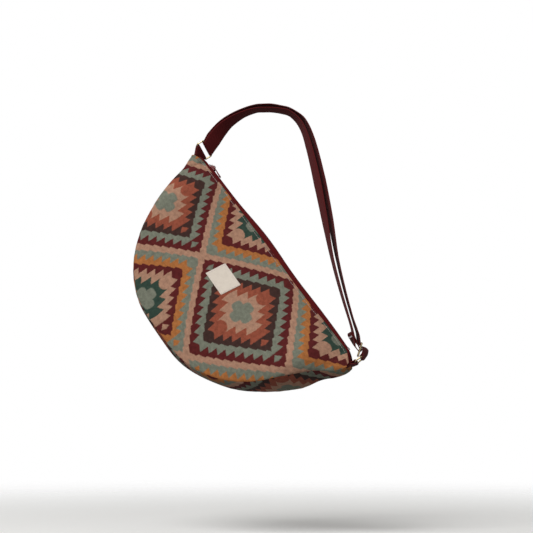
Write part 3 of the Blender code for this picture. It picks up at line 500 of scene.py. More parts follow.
def kilim_group():
    """The kilim print: toothed diamonds of two kinds in a lattice, in the pattern's own steps."""
    inputs = [("Place", "NodeSocketVector", None)]
    inputs += [(tone, "NodeSocketColor", (0.5, 0.5, 0.5, 1.0)) for tone in TONES]
    inputs += [("Softness", "NodeSocketFloat", 1.1), ("Wobble", "NodeSocketFloat", 0.018)]
    tree, entry, out = new_group("kilim_print", inputs, [("Color", "NodeSocketColor")])
    place, soft = entry.outputs["Place"], entry.outputs["Softness"]
    centred = vector("SUBTRACT", noise(place, 38.0, 2.0)["Color"], (0.5, 0.5, 0.5))
    shift = vector("SCALE", centred, entry.outputs["Wobble"])
    moved = vector("ADD", place, shift)

    def folded(value):
        """Distance from the nearest diamond's middle, in steps."""
        return abs((value * 0.5).then("ROUND") * -2.0 + value)

    ax, ay = (folded(value) for value in split(moved)[:2])
    second = (ax + ay).then("GREATER_THAN", 1.0)

    def turned(value):
        """The distance in units, from the second kind's middle where that diamond lies."""
        return ((value * -2.0 + 1.0) * second + value) * PATTERN_UNITS

    x, y = turned(ax), turned(ay)
    level = x + y
    straight = level + ((x / TOOTH_PITCH).then("FRACT") * -STAIR + STAIR / 2)

    def within(value, limit):
        return soft_step(limit - value, soft)

    def toothed(pitch, lean, limit, tip):
        """A leaning saw along a diamond's side, cut off past the corner."""
        middle = level - (limit + (pitch + lean) / 2)
        column = ((middle * TOOTH_SKEW + x) / pitch).then("MAXIMUM", 0.0)
        saw = column.then("FRACT") * -lean + (column.then("FLOOR") * pitch + y)
        return saw.then("MAXIMUM", x - tip)

    def band(limit):
        """A toothed band with a loose lozenge at its corner."""
        spot = (y - x + (2 * limit - 0.4)).then("MAXIMUM", y * 0.3 + x - 5.8)
        return within(
            toothed(TOOTH_PITCH, TOOTH_LEAN, limit, TOOTH_TIP).then("MINIMUM", spot), limit
        )

    def lobe(along, across):
        """One pair of the clover's lobes."""
        past = (along - CLOVER_ARM).then("MAXIMUM", 0.0)
        return (past**3.0 + across**3.0) ** (1.0 / 3.0)

    def pair(first, other):
        return mixed(tree, second, entry.outputs[first], entry.outputs[other])

    reach = (x**2.0 + abs(y - SCOOP_AT) ** 2.0).then("SQRT")
    points = within(toothed(STAR_PITCH, STAR_LEAN, STAR_LIMIT, STAR_TIP), STAR_LIMIT)
    star = points * soft_step(reach - SCOOP_RADIUS, soft)
    clover = within(lobe(y, x).then("MINIMUM", lobe(x, y)), CLOVER_RADIUS)
    shade = pair("Burgundy", "Sage")
    for mask, tone in (
        (band(OUTER_TEETH), pair("Sage", "Orange")),
        (within(straight, INNER_LINE), pair("Brown", "Burgundy")),
        (band(INNER_TEETH), pair("Rust", "Pink")),
        (star, pair("Pink", "Green")),
        (clover, entry.outputs["Sage"]),
        (soft_step(straight - LATTICE_LINE, soft), entry.outputs["Pink"]),
    ):
        shade = mixed(tree, mask, shade, tone)
    feed(out.inputs["Color"], shade)
    return tree


def weave_group():
    """Plain weave with a felted face: height and a light and dark mottling."""
    inputs = [("Place", "NodeSocketVector", None), ("Threads", "NodeSocketFloat", 110.0)]
    inputs += [("Fuzz", "NodeSocketFloat", 0.6)]
    outputs = [("Height", "NodeSocketFloat"), ("Mottle", "NodeSocketFloat")]
    tree, entry, out = new_group("felted_weave", inputs, outputs)
    scaled = vector("SCALE", entry.outputs["Place"], entry.outputs["Threads"])
    across, along, _ = split(scaled)
    odd = abs((across.then("FLOOR") + along.then("FLOOR")).then("MODULO", 2.0))
    threads = wave(across) * odd + wave(along) * (1.0 - odd)
    fuzz = Term(noise(scaled, 0.9, 4.0, 0.7)["Fac"])
    feed(out.inputs["Height"], fuzz * entry.outputs["Fuzz"] + threads)
    feed(out.inputs["Mottle"], fuzz + noise(scaled, 0.16, 3.0)["Fac"])
    return tree


def webbing_group():
    """Ribbed webbing: slanted ribs that change side in columns, from a map in metres. Groove gives
    the grooves between the columns, where the material paints shade into the colour.
    """
    inputs = [("Place", "NodeSocketVector", None), ("Rib", "NodeSocketFloat", 0.0013)]
    inputs += [("Column", "NodeSocketFloat", 0.0031)]
    outputs = [
        ("Height", "NodeSocketFloat"), ("Groove", "NodeSocketFloat"), ("Mottle", "NodeSocketFloat")
    ]
    tree, entry, out = new_group("ribbed_webbing", inputs, outputs)
    place = entry.outputs["Place"]
    along, across, _ = split(place)
    column = across / entry.outputs["Column"]
    ribs = wave(column.then("PINGPONG", 1.0) * 1.4 + along / entry.outputs["Rib"])
    groove = (1.0 - wave(column)) ** 4.0
    mottle = Term(noise(place, 900.0, 3.0)["Fac"])
    feed(out.inputs["Height"], groove * -0.5 + (mottle * 0.4 + ribs))
    feed(out.inputs["Groove"], groove)
    feed(out.inputs["Mottle"], mottle)
    return tree


def wear_group():
    """Fine scuffs and soft clouds for metal and paint, from a place in metres."""
    inputs = [("Place", "NodeSocketVector", None), ("Scratch", "NodeSocketFloat", 0.5)]
    outputs = [("Cloud", "NodeSocketFloat"), ("Height", "NodeSocketFloat")]
    tree, entry, out = new_group("handled_surface", inputs, outputs)
    place = entry.outputs["Place"]
    stretched = vector("MULTIPLY", place, (400.0, 2600.0, 400.0))
    scratch = Term(noise(stretched, 1.0, 5.0)["Fac"])
    feed(out.inputs["Cloud"], noise(place, 260.0, 4.0)["Fac"])
    feed(out.inputs["Height"], scratch * entry.outputs["Scratch"])
    return tree


GROUP_MAKERS = {
    "kilim_print": kilim_group,
    "felted_weave": weave_group,
    "ribbed_webbing": webbing_group,
    "handled_surface": wear_group,
}


def use_group(tree, name, values):
    """The outputs of a shared group placed in a material. It is built when first asked for."""
    group = bpy.data.node_groups.get(name) or GROUP_MAKERS[name]()
    return put(tree, "ShaderNodeGroup", values, node_tree=group).outputs


def made_once(make):
    """A material's maker that gives back a material that is there already."""

    @wraps(make)
    def find(name, *values):
        return bpy.data.materials.get(name) or make(name, *values)

    return find


def blank_material(name):
    """A new material, its node tree and its Principled shader."""
    material = bpy.data.materials.new(name)
    material.use_nodes = True
    return material, material.node_tree, material.node_tree.nodes["Principled BSDF"]


def set_surface(shader, tint, tone, rough, height, bump, constants):
    """A tint darkened by a tone, a roughness, a bump of (strength, distance), and constants."""
    tree = shader.id_data
    gray = put(tree, "ShaderNodeCombineColor", {0: tone, 1: tone, 2: tone}).outputs[0]
    values = {"Height": height, "Strength": bump[0], "Distance": bump[1]}
    relief = put(tree, "ShaderNodeBump", values)
    feed(shader.inputs["Base Color"], mixed(tree, 1.0, tint, gray, "MULTIPLY"))
    feed(shader.inputs["Roughness"], rough)
    feed(shader.inputs["Normal"], relief.outputs["Normal"])
    for key, value in constants.items():
        feed(shader.inputs[key], value)


def cloth_map(tree):
    """The place that a cloth piece's own map gives."""
    return put(tree, "ShaderNodeUVMap", uv_map="print").outputs[0]


@made_once
def printed_cloth(name, look):
    """Thick matte cotton with the kilim print."""
    material, tree, shader = blank_material(name)
    place = cloth_map(tree)
    tints = {tone: rgba(getattr(look, tone.lower())) for tone in TONES}
    shade = use_group(tree, "kilim_print", {"Place": place, **tints})["Color"]
    weave = use_group(tree, "felted_weave", {"Place": place, "Threads": look.step / look.thread})
    mottle = Term(weave["Mottle"])
    set_surface(
        shader, shade, mottle * 0.9 + 0.1, mottle * 0.08 + 0.84, weave["Height"], (0.4, 0.0003),
        {"Specular IOR Level": 0.08, "Sheen Weight": 0.03},
    )
    return material


@made_once
def plain_weave(name, tint, threads, rough, contrast, strength):
    """A plain woven cloth of one colour, with threads counted to a metre."""
    material, tree, shader = blank_material(name)
    weave = use_group(
        tree, "felted_weave", {"Place": cloth_map(tree), "Threads": threads, "Fuzz": 0.4}
    )
    mottle = Term(weave["Mottle"])
    set_surface(
        shader, rgba(tint), mottle * contrast + (1.0 - contrast), mottle * 0.1 + (rough - 0.1),
        weave["Height"], (strength, 0.0003), {"Specular IOR Level": 0.12, "Sheen Weight": 0.02},
    )
    return material


@made_once
def webbing_cloth(name, look):
    """Ribbed webbing of one colour, with painted shade darkening the grooves between its rib
    columns.
    """
    material, tree, shader = blank_material(name)
    weave = use_group(tree, "ribbed_webbing", {"Place": cloth_map(tree), "Rib": look.rib})
    mottle = Term(weave["Mottle"])
    # Painted shade: the base colour is a quarter darker in the grooves between the rib columns.
    tone = Term(weave["Groove"]) * -0.25 + (mottle * 0.5 + 0.72)
    set_surface(
        shader, rgba(look.burgundy), tone, mottle * 0.15 + 0.68, weave["Height"], (0.5, 0.0003),
        {"Specular IOR Level": 0.12, "Sheen Weight": 0.03},
    )
    return material


@made_once
def painted_or_plated(name, tint, metallic, rough, coat):
    """Plated metal or glossy paint with fine scuffs."""
    material, tree, shader = blank_material(name)
    place = put(tree, "ShaderNodeTexCoord").outputs["Object"]
    wear = use_group(tree, "handled_surface", {"Place": place})
    cloud = Term(wear["Cloud"])
    constants = {"Metallic": metallic, "Specular IOR Level": 0.35}
    constants |= {"Coat Weight": coat, "Coat Roughness": 0.08}
    set_surface(
        shader, rgba(tint), cloud * 0.16 + 0.91, cloud * 0.16 + (rough - 0.06),
        wear["Height"], (0.06, 0.0001), constants,
    )
    return material


@made_once
def thread_material(name, tint):
    """Twisted sewing thread, with painted shade darkening the low parts of its twist."""
    material, tree, shader = blank_material(name)
    place = put(tree, "ShaderNodeTexCoord").outputs["Object"]
    values = {"Vector": place, "Scale": 900.0, "Distortion": 1.5}
    twist = Term(put(tree, "ShaderNodeTexWave", values, bands_direction="DIAGONAL").outputs["Fac"])
    # Painted shade: the colour follows the twist's height and is darker where the twist is low.
    set_surface(shader, rgba(tint), twist * 0.3 + 0.75, twist * 0.1 + 0.5, twist, (0.4, 0.0001), {})
    return material


# Mesh helpers


def new_object(name, data):
    """An object with its data, linked to the scene."""
    made = bpy.data.objects.new(name, data)
    bpy.context.scene.collection.objects.link(made)
    return made


def applied(piece):
    """Put the shape that a piece's modifiers give in place of its own mesh."""
    bpy.context.view_layer.update()
    seen = piece.evaluated_get(bpy.context.evaluated_depsgraph_get())
    solid = bpy.data.meshes.new_from_object(seen)
    piece.modifiers.clear()
    piece.data = solid
    return solid


def unit(vectors):
    """The vectors of an array, each at length 1."""
    return vectors / np.linalg.norm(vectors, axis=-1, keepdims=True)


def run_length(points):
    """How far along a line each of its points lies."""
    return np.concatenate([[0.0], np.cumsum(np.linalg.norm(np.diff(points, axis=0), axis=1))])


def row_lengths(grid):
    """How far along its own column each point of a grid lies."""
    steps = np.linalg.norm(np.diff(grid, axis=1), axis=2)
    return np.concatenate([np.zeros((len(steps), 1)), np.cumsum(steps, axis=1)], axis=1)


def from_row(patch, row):
    """How far each point of a grid lies from its column's point in one row."""
    return np.linalg.norm(patch - patch[:, row][:, None, :], axis=2)


def add_piece(name, verts, faces, material, body, uv=None, pose=None, slot=None, sharp=40.0):
    """A mesh piece at the origin, riding on a body. The map gives a place for each vertex."""
    points = [pose @ Vector(v) for v in verts] if pose is not None else [Vector(v) for v in verts]
    mesh = bpy.data.meshes.new(name)
    mesh.from_pydata([tuple(p) for p in points], [], faces)
    if uv is not None:
        layer = mesh.uv_layers.new(name="print")
        flat = np.asarray(uv, dtype=np.float32)
        corners = np.zeros(len(mesh.loops), dtype=np.int32)
        mesh.loops.foreach_get("vertex_index", corners)
        layer.data.foreach_set("uv", flat[corners].ravel())
    mesh.materials.append(material)
    mesh.shade_smooth()
    mesh.set_sharp_from_angle(angle=math.radians(sharp))
    mesh.validate()
    piece = new_object(name, mesh)
    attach(piece, body)
    return piece


def grid_shell(outer, inner):
    """Faces of a closed sheet between two grids of the same size, outward on the outer side."""
    columns, rows, _ = outer.shape
    verts = np.concatenate([outer.reshape(-1, 3), inner.reshape(-1, 3)])
    shift = columns * rows
    faces = []
    for i in range(columns - 1):
        for j in range(rows - 1):
            a = i * rows + j
            quad = (a, a + rows, a + rows + 1, a + 1)
            faces.append(quad[::-1])
            faces.append(tuple(k + shift for k in quad))
    for i in range(columns - 1):
        a = i * rows
        faces.append((a, a + rows, a + rows + shift, a + shift))
        b = a + rows - 1
        faces.append((b, b + shift, b + rows + shift, b + rows))
    for j in range(rows - 1):
        faces.append((j, j + shift, j + 1 + shift, j + 1))
        b = (columns - 1) * rows + j
        faces.append((b, b + 1, b + 1 + shift, b + shift))
    return verts, faces


def smooth_curve(points, per_span):
    """Points on a Catmull-Rom curve through the given points."""
    pts = [np.array(p, dtype=float) for p in points]
    pts = [2 * pts[0] - pts[1]] + pts + [2 * pts[-1] - pts[-2]]
    curve = []
    for k in range(1, len(pts) - 2):
        p0, p1, p2, p3 = pts[k - 1 : k + 3]
        for step in range(per_span):
            t = step / per_span
            curve.append(
                0.5 * (2 * p1 + (p2 - p0) * t + (2 * p0 - 5 * p1 + 4 * p2 - p3) * t**2
                       + (3 * p1 - p0 - 3 * p2 + p3) * t**3)
            )
    curve.append(pts[-2])
    return np.array(curve)


def smoothstep(x):
    """Ease from 0 to 1."""
    x = np.clip(x, 0.0, 1.0)
    return x * x * (3.0 - 2.0 * x)


def lower_edge():
    """The lower edge of the front from corner to corner, as a dense curve of x and z."""
    left = [(-HALF_LENGTH * x, -PANEL_HEIGHT * z) for x, z in LEFT_EDGE_SHARES]
    left += [(-LEFT_REACH + x, z) for x, z in LEFT_CORNER]
    right = [(HALF_LENGTH * x, -PANEL_HEIGHT * z) for x, z in RIGHT_EDGE_SHARES]
    right += [(RIGHT_REACH - x, z) for x, z in RIGHT_CORNER]
    return smooth_curve(left[::-1] + [(0.0, -PANEL_HEIGHT)] + right, 40)


def zip_edge(x):
    """Height and half gap of the panels' top edge at x."""
    left = np.clip((LEFT_BEND - LEFT_REACH - x) / (LEFT_BEND - CORNER_STEP), 0.0, 1.0)
    right = np.clip((RIGHT_BEND - RIGHT_REACH + x) / (RIGHT_BEND - LIP_STEP), 0.0, 1.0)
    height = -ZIP_EDGE_DROP - LEFT_DIP * left**1.6 - RIGHT_DIP * right**1.5
    widening = 1.0 - (1.0 - np.maximum(left, right)) ** 2.5
    half_gap = ZIP_EDGE_HALF_GAP + (END_HALF_DEPTH - ZIP_EDGE_HALF_GAP) * widening
    return height, half_gap


def eased(x, knots):
    """A value read from knots of (x, value), with rounded changes between them."""
    spread = np.linspace(-0.008, 0.008, 9)
    places, values = np.array(knots).T
    return np.mean([np.interp(x + d, places, values) for d in spread], axis=0)


def edge_dense(count, evenness):
    """Shares from 0 to 1 that lie closer together near both ends."""
    even = np.linspace(0.0, 1.0, count + 1)
    return evenness * even + (1.0 - evenness) * (0.5 - 0.5 * np.cos(np.pi * even))


def mitre(first, second):
    """The vector that offsets two meeting sheets by one thickness each."""
    return (first + second) / (1.0 + np.sum(first * second, axis=1))[:, None]


def patch_normals(patch):
    """Outward normals of one panel's grid."""
    return unit(np.cross(np.gradient(patch, axis=1), np.gradient(patch, axis=0)))


def ease_rows(patch, normals, seam, seam_offset):
    """Lead the rows of one panel into the mitre at its seam."""
    away = from_row(patch, seam)
    reach = np.minimum(away.max(axis=1), SEAM_EASE)[:, None]
    lead = np.clip(1.0 - away / reach, 0.0, 1.0)
    normals += lead[:, :, None] * (seam_offset - normals[:, seam])[:, None, :]


def ripple(s, phases, lengths):
    """Uneven waves along a seam, between about -1 and 1."""
    total = np.zeros_like(s)
    for phase, pitch in zip(phases, lengths):
        total = total + np.sin(2 * np.pi * s / pitch + phase)
    return total / len(lengths) ** 0.7


class Skin:
    """The bag's outer skin as a fine grid, with its outward offsets and its inner face."""

    COLUMNS = 300
    PANEL = 64
    GUSSET = 34

    def __init__(self):
        edge = lower_edge()
        run = run_length(edge)
        self.length = run[-1]
        part = edge_dense(self.COLUMNS, 0.55)
        self.part = part
        low_x = np.interp(part * self.length, run, edge[:, 0])
        low_z = np.interp(part * self.length, run, edge[:, 1])
        slope = unit(np.stack([np.gradient(low_x, part), np.gradient(low_z, part)], axis=1))
        out_x, out_z = slope[:, 1], -slope[:, 0]
        near_end = np.minimum(part, 1.0 - part) * self.length
        swell = smoothstep(near_end / DEPTH_RUN)
        half_depth = END_HALF_DEPTH + (MID_HALF_DEPTH - END_HALF_DEPTH) * swell
        top_left = low_x[0] + CORNER_STEP
        top_x = top_left + (low_x[-1] - LIP_STEP - top_left) * part
        top_z, half_gap = zip_edge(top_x)
        span = np.hypot(low_x - top_x, low_z - top_z)
        lift_x = np.interp(part, BACK_SHARES, BACK_ALONG)
        lift_z = np.interp(part, BACK_SHARES, BACK_UP)
        calm = np.ones(9) / 9
        for lift in (lift_x, lift_z):
            lift[4:-4] = np.convolve(lift, calm, "valid")
        self.rows = edge_dense(self.PANEL, 0.15)
        cross = edge_dense(self.GUSSET, 0.25)

        def puffed(r):
            """How full a panel is at a share of its height."""
            return (1.0 - abs(2.0 * r - 1.0) ** 2.5) * smoothstep(span / DOME_RUN)

        grid = []
        for r in self.rows:
            puff = puffed(r)
            y = -(half_gap + (half_depth - half_gap) * r) - FRONT_DOME * puff
            x = top_x + (low_x - top_x) * r
            grid.append(np.stack([x, y, top_z + (low_z - top_z) * r], axis=1))
        for v in cross[1:-1]:
            bulge = GUSSET_BULGE * 4.0 * v * (1.0 - v) * swell
            x = low_x + lift_x * v + out_x * bulge
            z = low_z + lift_z * v + out_z * bulge
            grid.append(np.stack([x, half_depth * (2.0 * v - 1.0), z], axis=1))
        back_x, back_z = low_x + lift_x, low_z + lift_z
        corner = 1.0 - smoothstep(part / CORNER_SHARE)
        lead_x, lead_z = top_x + lift_x * corner, top_z + lift_z * corner
        for r in self.rows[::-1]:
            puff = puffed(r)
            y = half_gap + (half_depth - half_gap) * r + BACK_DOME * puff
            x = lead_x + (back_x - lead_x) * r
            grid.append(np.stack([x, y, lead_z + (back_z - lead_z) * r], axis=1))
        self.grid = np.stack(grid, axis=1)
        self.top_x = top_x
        self.seam = self.PANEL
        self.back = self.PANEL + self.GUSSET
        self.offsets = self.find_offsets()
        self.inside = self.grid - self.offsets * WALL

    def find_offsets(self):
        """Outward offset vectors, mitred along the two seams."""
        grid, seam, back = self.grid, self.seam, self.back
        front_n = patch_normals(grid[:, : seam + 1])
        gusset_n = patch_normals(grid[:, seam : back + 1])
        back_n = patch_normals(grid[:, back:])
        front_mitre = mitre(front_n[:, -1], gusset_n[:, 0])
        back_mitre = mitre(gusset_n[:, -1], back_n[:, 0])
        ease_rows(grid[:, : seam + 1], front_n, -1, front_mitre)
        ease_rows(grid[:, seam : back + 1], gusset_n, 0, front_mitre)
        ease_rows(grid[:, seam : back + 1], gusset_n, -1, back_mitre)
        ease_rows(grid[:, back:], back_n, 0, back_mitre)
        return np.concatenate([front_n[:, :-1], gusset_n, back_n[:, 1:]], axis=1)

    def along(self):
        """Arc length of each column along the lower edge."""
        return self.part * self.length


def seam_relief(skin, patch, seams, top, phase):
    """How far each point of one panel lies above its plain skin.

    Adds up the rolls and puckers at the seams, the stitch line along the top, and the sag.
    """
    look = bpy.context.scene.crescentbag_cloth
    s = skin.along()[:, None]
    size = np.linalg.norm(patch[:, 0] - patch[:, -1], axis=1)[:, None]
    relief = np.zeros(patch.shape[:2])
    for row in seams:
        away = from_row(patch, row)
        uneven = ripple(
            s, [phase, phase * 2.3, 1.7 + phase, phase * 0.6], [0.0117, 0.0173, 0.0239, 0.041]
        )
        width = np.minimum(look.roll_width * (1.0 + 0.22 * uneven), 0.35 * size)
        near = np.clip(1.0 - away / width, 0.0, 1.0)
        relief -= look.roll_depth * (1.0 + 0.25 * uneven) * (1.0 - np.sqrt(1.0 - near**2))
        fade = np.exp(-away / 0.010) * (1.0 - near**3) * smoothstep(size / 0.05)
        relief += look.pucker * uneven * fade
    if top is not None:
        away = from_row(patch, top)
        pitch = bpy.context.scene.crescentbag_stitches.pitch
        stitches = 0.5 + 0.5 * np.cos(2 * np.pi * skin.top_x[:, None] / pitch)
        groove = np.exp(-(((away - look.stitch_inset) / 0.0011) ** 2))
        relief -= 0.00042 * groove * (0.75 + 0.25 * stitches) * smoothstep(size / 0.03)
        hem = smoothstep((look.stitch_inset - away) / 0.0012) * smoothstep(away / 0.0018)
        relief += 0.00035 * hem * (1.0 + 0.3 * ripple(s, [0.3, 1.9, 4.4], [0.013, 0.021, 0.034]))
        edge = np.clip(1.0 - away / 0.0014, 0.0, 1.0)
        relief -= 0.00075 * (1.0 - np.sqrt(1.0 - edge**2))
        below = np.clip(away - look.stitch_inset, 0.0, None)
        gathers = ripple(s, [2.1, 0.4, 3.3], [0.0127, 0.0191, 0.0313])
        gathers = gathers * np.exp(-below / 0.009) * smoothstep(below / 0.002)
        relief += look.pucker * 0.8 * gathers * smoothstep(size / 0.06)
    x, z = patch[:, :, 0], patch[:, :, 2]
    calm = smoothstep(from_row(patch, 0) / SAG_FADE) * smoothstep(from_row(patch, -1) / SAG_FADE)
    slow = np.sin(x / 0.031 + 1.3 * phase + 0.6 * np.sin(z / 0.043))
    slow = slow * np.sin(z / 0.036 + 0.8 + phase)
    slow = slow + 0.6 * np.sin(x / 0.019 - z / 0.027 + 2.0 + phase)
    return relief + look.sag * slow * calm


def drawn_back(points, row, step):
    """Move one boundary row off its seam, squarely into its panel."""
    along = unit(np.gradient(points[:, row], axis=0))
    pull = points[:, step] - points[:, row]
    pull -= along * np.sum(pull * along, axis=1)[:, None]
    size = np.linalg.norm(pull, axis=1)[:, None] + 1e-9
    points[:, row] += pull / size * np.minimum(SEAM_GAP * 0.1, size * 0.4)


def lowered(skin, patch, offsets, top):
    """A panel with its top edge cut a little lower, and the offsets that go with it."""
    cut = eased(skin.top_x, EDGE_CUT)
    size = np.linalg.norm(patch[:, -1] - patch[:, 0], axis=1)
    own = skin.rows if top == 0 else 1.0 - skin.rows[::-1]
    new_patch, new_offsets = patch.copy(), offsets.copy()
    for i in range(len(patch)):
        if cut[i] <= 0.0:
            continue
        gone = cut[i] / size[i]
        rows = (1.0 - gone) * own + (gone if top == 0 else 0.0)
        for k in range(3):
            new_patch[i, :, k] = np.interp(rows, own, patch[i, :, k])
            new_offsets[i, :, k] = np.interp(rows, own, offsets[i, :, k])
    return new_patch, new_offsets


def panel_grids(skin, first, last, seams, top, phase):
    """Outer and inner grids of one panel in the bag's frame."""
    patch = skin.grid[:, first : last + 1]
    offsets = skin.offsets[:, first : last + 1]
    if top is not None:
        patch, offsets = lowered(skin, patch, offsets, top)
    relief = seam_relief(skin, patch, seams, top, phase)
    outer = patch + offsets * relief[:, :, None]
    depth = WALL - np.clip(relief, None, 0.0) * 0.35
    inner = patch - offsets * depth[:, :, None]
    for row in seams:
        step = 1 if row == 0 else row - 1
        drawn_back(outer, row, step)
        drawn_back(inner, row, step)
    return outer, inner


def to_world(points):
    """Points of the bag's frame in the world."""
    flat = np.asarray(points, dtype=float).reshape(-1, 3)
    turn = np.array(BAG_POSE)
    return (flat @ turn[:3, :3].T + turn[:3, 3]).reshape(np.shape(points))


def front_print(world):
    """Pattern steps of world points, as the print lies on the front."""
    cosine, sine = 0.6027, 0.798
    pins = np.array(PRINT_PINS, dtype=float)

    def terms(x, z):
        x, z = x / 100.0, z / 100.0
        powers = [x**i * z**j for i in range(5) for j in range(5 - i)]
        return np.stack(powers, axis=-1)

    fit = np.linalg.lstsq(terms(pins[:, 0], pins[:, 1]), pins[:, 2:], rcond=None)[0]
    dx, dz = world[..., 0] - LEVEL_CENTRE[0], world[..., 2] - LEVEL_CENTRE[1]
    x, z = (cosine * dx - sine * dz) * 1000.0, (sine * dx + cosine * dz) * 1000.0
    return terms(x, z) @ fit


def sewn_panels(skin):
    """Outer and inner grids of the three panels."""
    end = skin.grid.shape[1] - 1
    return {
        "front": panel_grids(skin, 0, skin.seam, [skin.seam], 0, 0.4),
        "gusset": panel_grids(skin, skin.seam, skin.back, [0, skin.back - skin.seam], None, 2.9),
        "back": panel_grids(skin, skin.back, end, [0], end - skin.back, 4.1),
    }


# The skin and its three panels, once they are made
MADE = {}


def bag_skin():
    """The skin, made once."""
    if "skin" not in MADE:
        MADE["skin"] = Skin()
    return MADE["skin"]


def bag_panels():
    """The panels as they were last sewn, or sewn now."""
    if "panels" not in MADE:
        MADE["panels"] = sewn_panels(bag_skin())
    return MADE["panels"]


def sheet_area(grid):
    """Area of a grid's surface."""
    a = grid[1:, :-1] - grid[:-1, :-1]
    b = grid[:-1, 1:] - grid[:-1, :-1]
    return float(np.linalg.norm(np.cross(a, b), axis=2).sum())


# Pieces


class CRESCENTBAG_OT_panels(bpy.types.Operator):
    """Sew the front, gusset and back panels of printed cloth"""

    bl_idname = "crescentbag.panels"
    bl_label = "Printed Panels"

    def execute(self, context):
        skin = bag_skin()
        look = context.scene.crescentbag_print
        step = look.step
        cloth = printed_cloth("printed_cotton", look)
        MADE["panels"] = sewn_panels(skin)
        front, gusset, back = MADE["panels"].values()
        place = front_print(to_world(np.concatenate([g.reshape(-1, 3) for g in front])))
        self.add("front_panel_cloth", "front_panel", front, place, cloth, (0.46, 0.215))
        s = np.broadcast_to(skin.along()[:, None], gusset[0].shape[:2])
        along = (s - GUSSET_PRINT_START) / step
        across = GUSSET_PRINT_ACROSS - GUSSET_PRINT_SHARE * row_lengths(gusset[0]) / step
        place = np.stack([along, across], axis=-1).reshape(-1, 2)
        self.end_fold(cloth, (along[-1, 0], across[-1, 0]), step)
        place = np.concatenate([place, place])
        self.add("gusset_cloth", "bottom_gusset", gusset, place, cloth, (0.62, 0.098))
        flat = np.concatenate([g.reshape(-1, 3) for g in back])
        x, z = BACK_PRINT_CENTRE
        place = np.stack([(x - flat[:, 0]) / step, (z - flat[:, 2]) / step], axis=-1)
        self.add("back_panel_cloth", "back_panel", back, place, cloth, (0.46, 0.215))
        return {"FINISHED"}

    def end_fold(self, cloth, start, step):
        """The gusset's turned end, which closes the right corner round the tab."""
        level = Vector((0.0, 1.0, 0.0))
        knots = [(Vector((RIGHT_REACH - inset, 0.0, z)), level) for inset, z in END_FOLD_ROUTE]
        points, across = ease_path(knots, 0.0006)
        cup = np.full(len(points), 0.0004)
        verts, faces, run = band(points, across, cup, END_FOLD_HALF_WIDTH, END_FOLD_WALL)
        below = run[:, 1] > UNDERSIDE / 2
        side = np.where(below, run[:, 1] - UNDERSIDE, run[:, 1]) + END_FOLD_HALF_WIDTH
        place = np.stack(
            [start[0] + run[:, 0] / step, start[1] - GUSSET_PRINT_SHARE * side / step], axis=-1
        )
        add_piece("gusset_end_fold", verts, faces, cloth, "bag", place, BAG_POSE, "printed_cloth")

    def add(self, name, node, grids, place, cloth, flat):
        """One panel as a closed sheet."""
        verts, faces = grid_shell(*grids)
        piece = add_piece(name, verts, faces, cloth, "bag", place, BAG_POSE, "printed_cloth", 60.0)
        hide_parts(node)
        area = sheet_area((grids[0] + grids[1]) / 2)


class CRESCENTBAG_OT_lining(bpy.types.Operator):
    """Hang the lining inside the panels"""

    bl_idname = "crescentbag.lining"
    bl_label = "Lining"

    def execute(self, context):
        skin = bag_skin()
        columns = np.arange(10, skin.COLUMNS - 9, 2)
        rows = np.arange(3, skin.back + skin.PANEL - 2, 3)
        cut = np.ix_(columns, rows)
        x = skin.grid[:, :, 0]
        folds = 0.00035 * np.sin(x / 0.0041 + 1.5 * np.sin(skin.grid[:, :, 2] / 0.02))
        deep = (LINING_GAP + 0.0004 + np.abs(folds))[:, :, None]
        outer = (skin.inside - skin.offsets * deep)[cut]
        inner = (skin.inside - skin.offsets * (deep + LINING_WALL))[cut]
        verts, faces, place = self.pouch(outer, inner)
        tint = context.scene.crescentbag_cloth.lining
        cloth = plain_weave("lining_weave", tint, 1400.0, 0.8, 0.2, 0.3)
        piece = add_piece(
            "lining_pouch", verts, faces, cloth, "bag", place, BAG_POSE, "lining_cloth", 60.0
        )
        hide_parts("lining")
        area = sheet_area((outer + inner) / 2)
        return {"FINISHED"}

    def pouch(self, outer, inner):
        """The lining sheet with its two ends closed by fans."""
        columns, rows, _ = outer.shape
        verts, faces = grid_shell(outer, inner)
        verts = list(verts)
        count = columns * rows
        kept = []
        for face in faces:
            ends = {k % count // rows for k in face}
            layers = {k // count for k in face}
            if len(ends) == 1 and len(layers) == 2 and ends <= {0, columns - 1}:
                continue
            kept.append(face)
        for i, flip in ((0, False), (columns - 1, True)):
            for layer, grid in ((0, outer), (1, inner)):
                hub = len(verts)
                verts.append(grid[i].mean(axis=0))
                ring = [layer * count + i * rows + j for j in range(rows)]
                for k, a in enumerate(ring):
                    b = ring[(k + 1) % rows]
                    face = (a, b, hub) if flip == bool(layer) else (b, a, hub)
                    kept.append(face)
            a, b = i * rows, i * rows + rows - 1
            face = (a, b, b + count, a + count)
            kept.append(face if flip else face[::-1])
        verts = np.array(verts)
        return verts, kept, verts[:, (0, 2)]


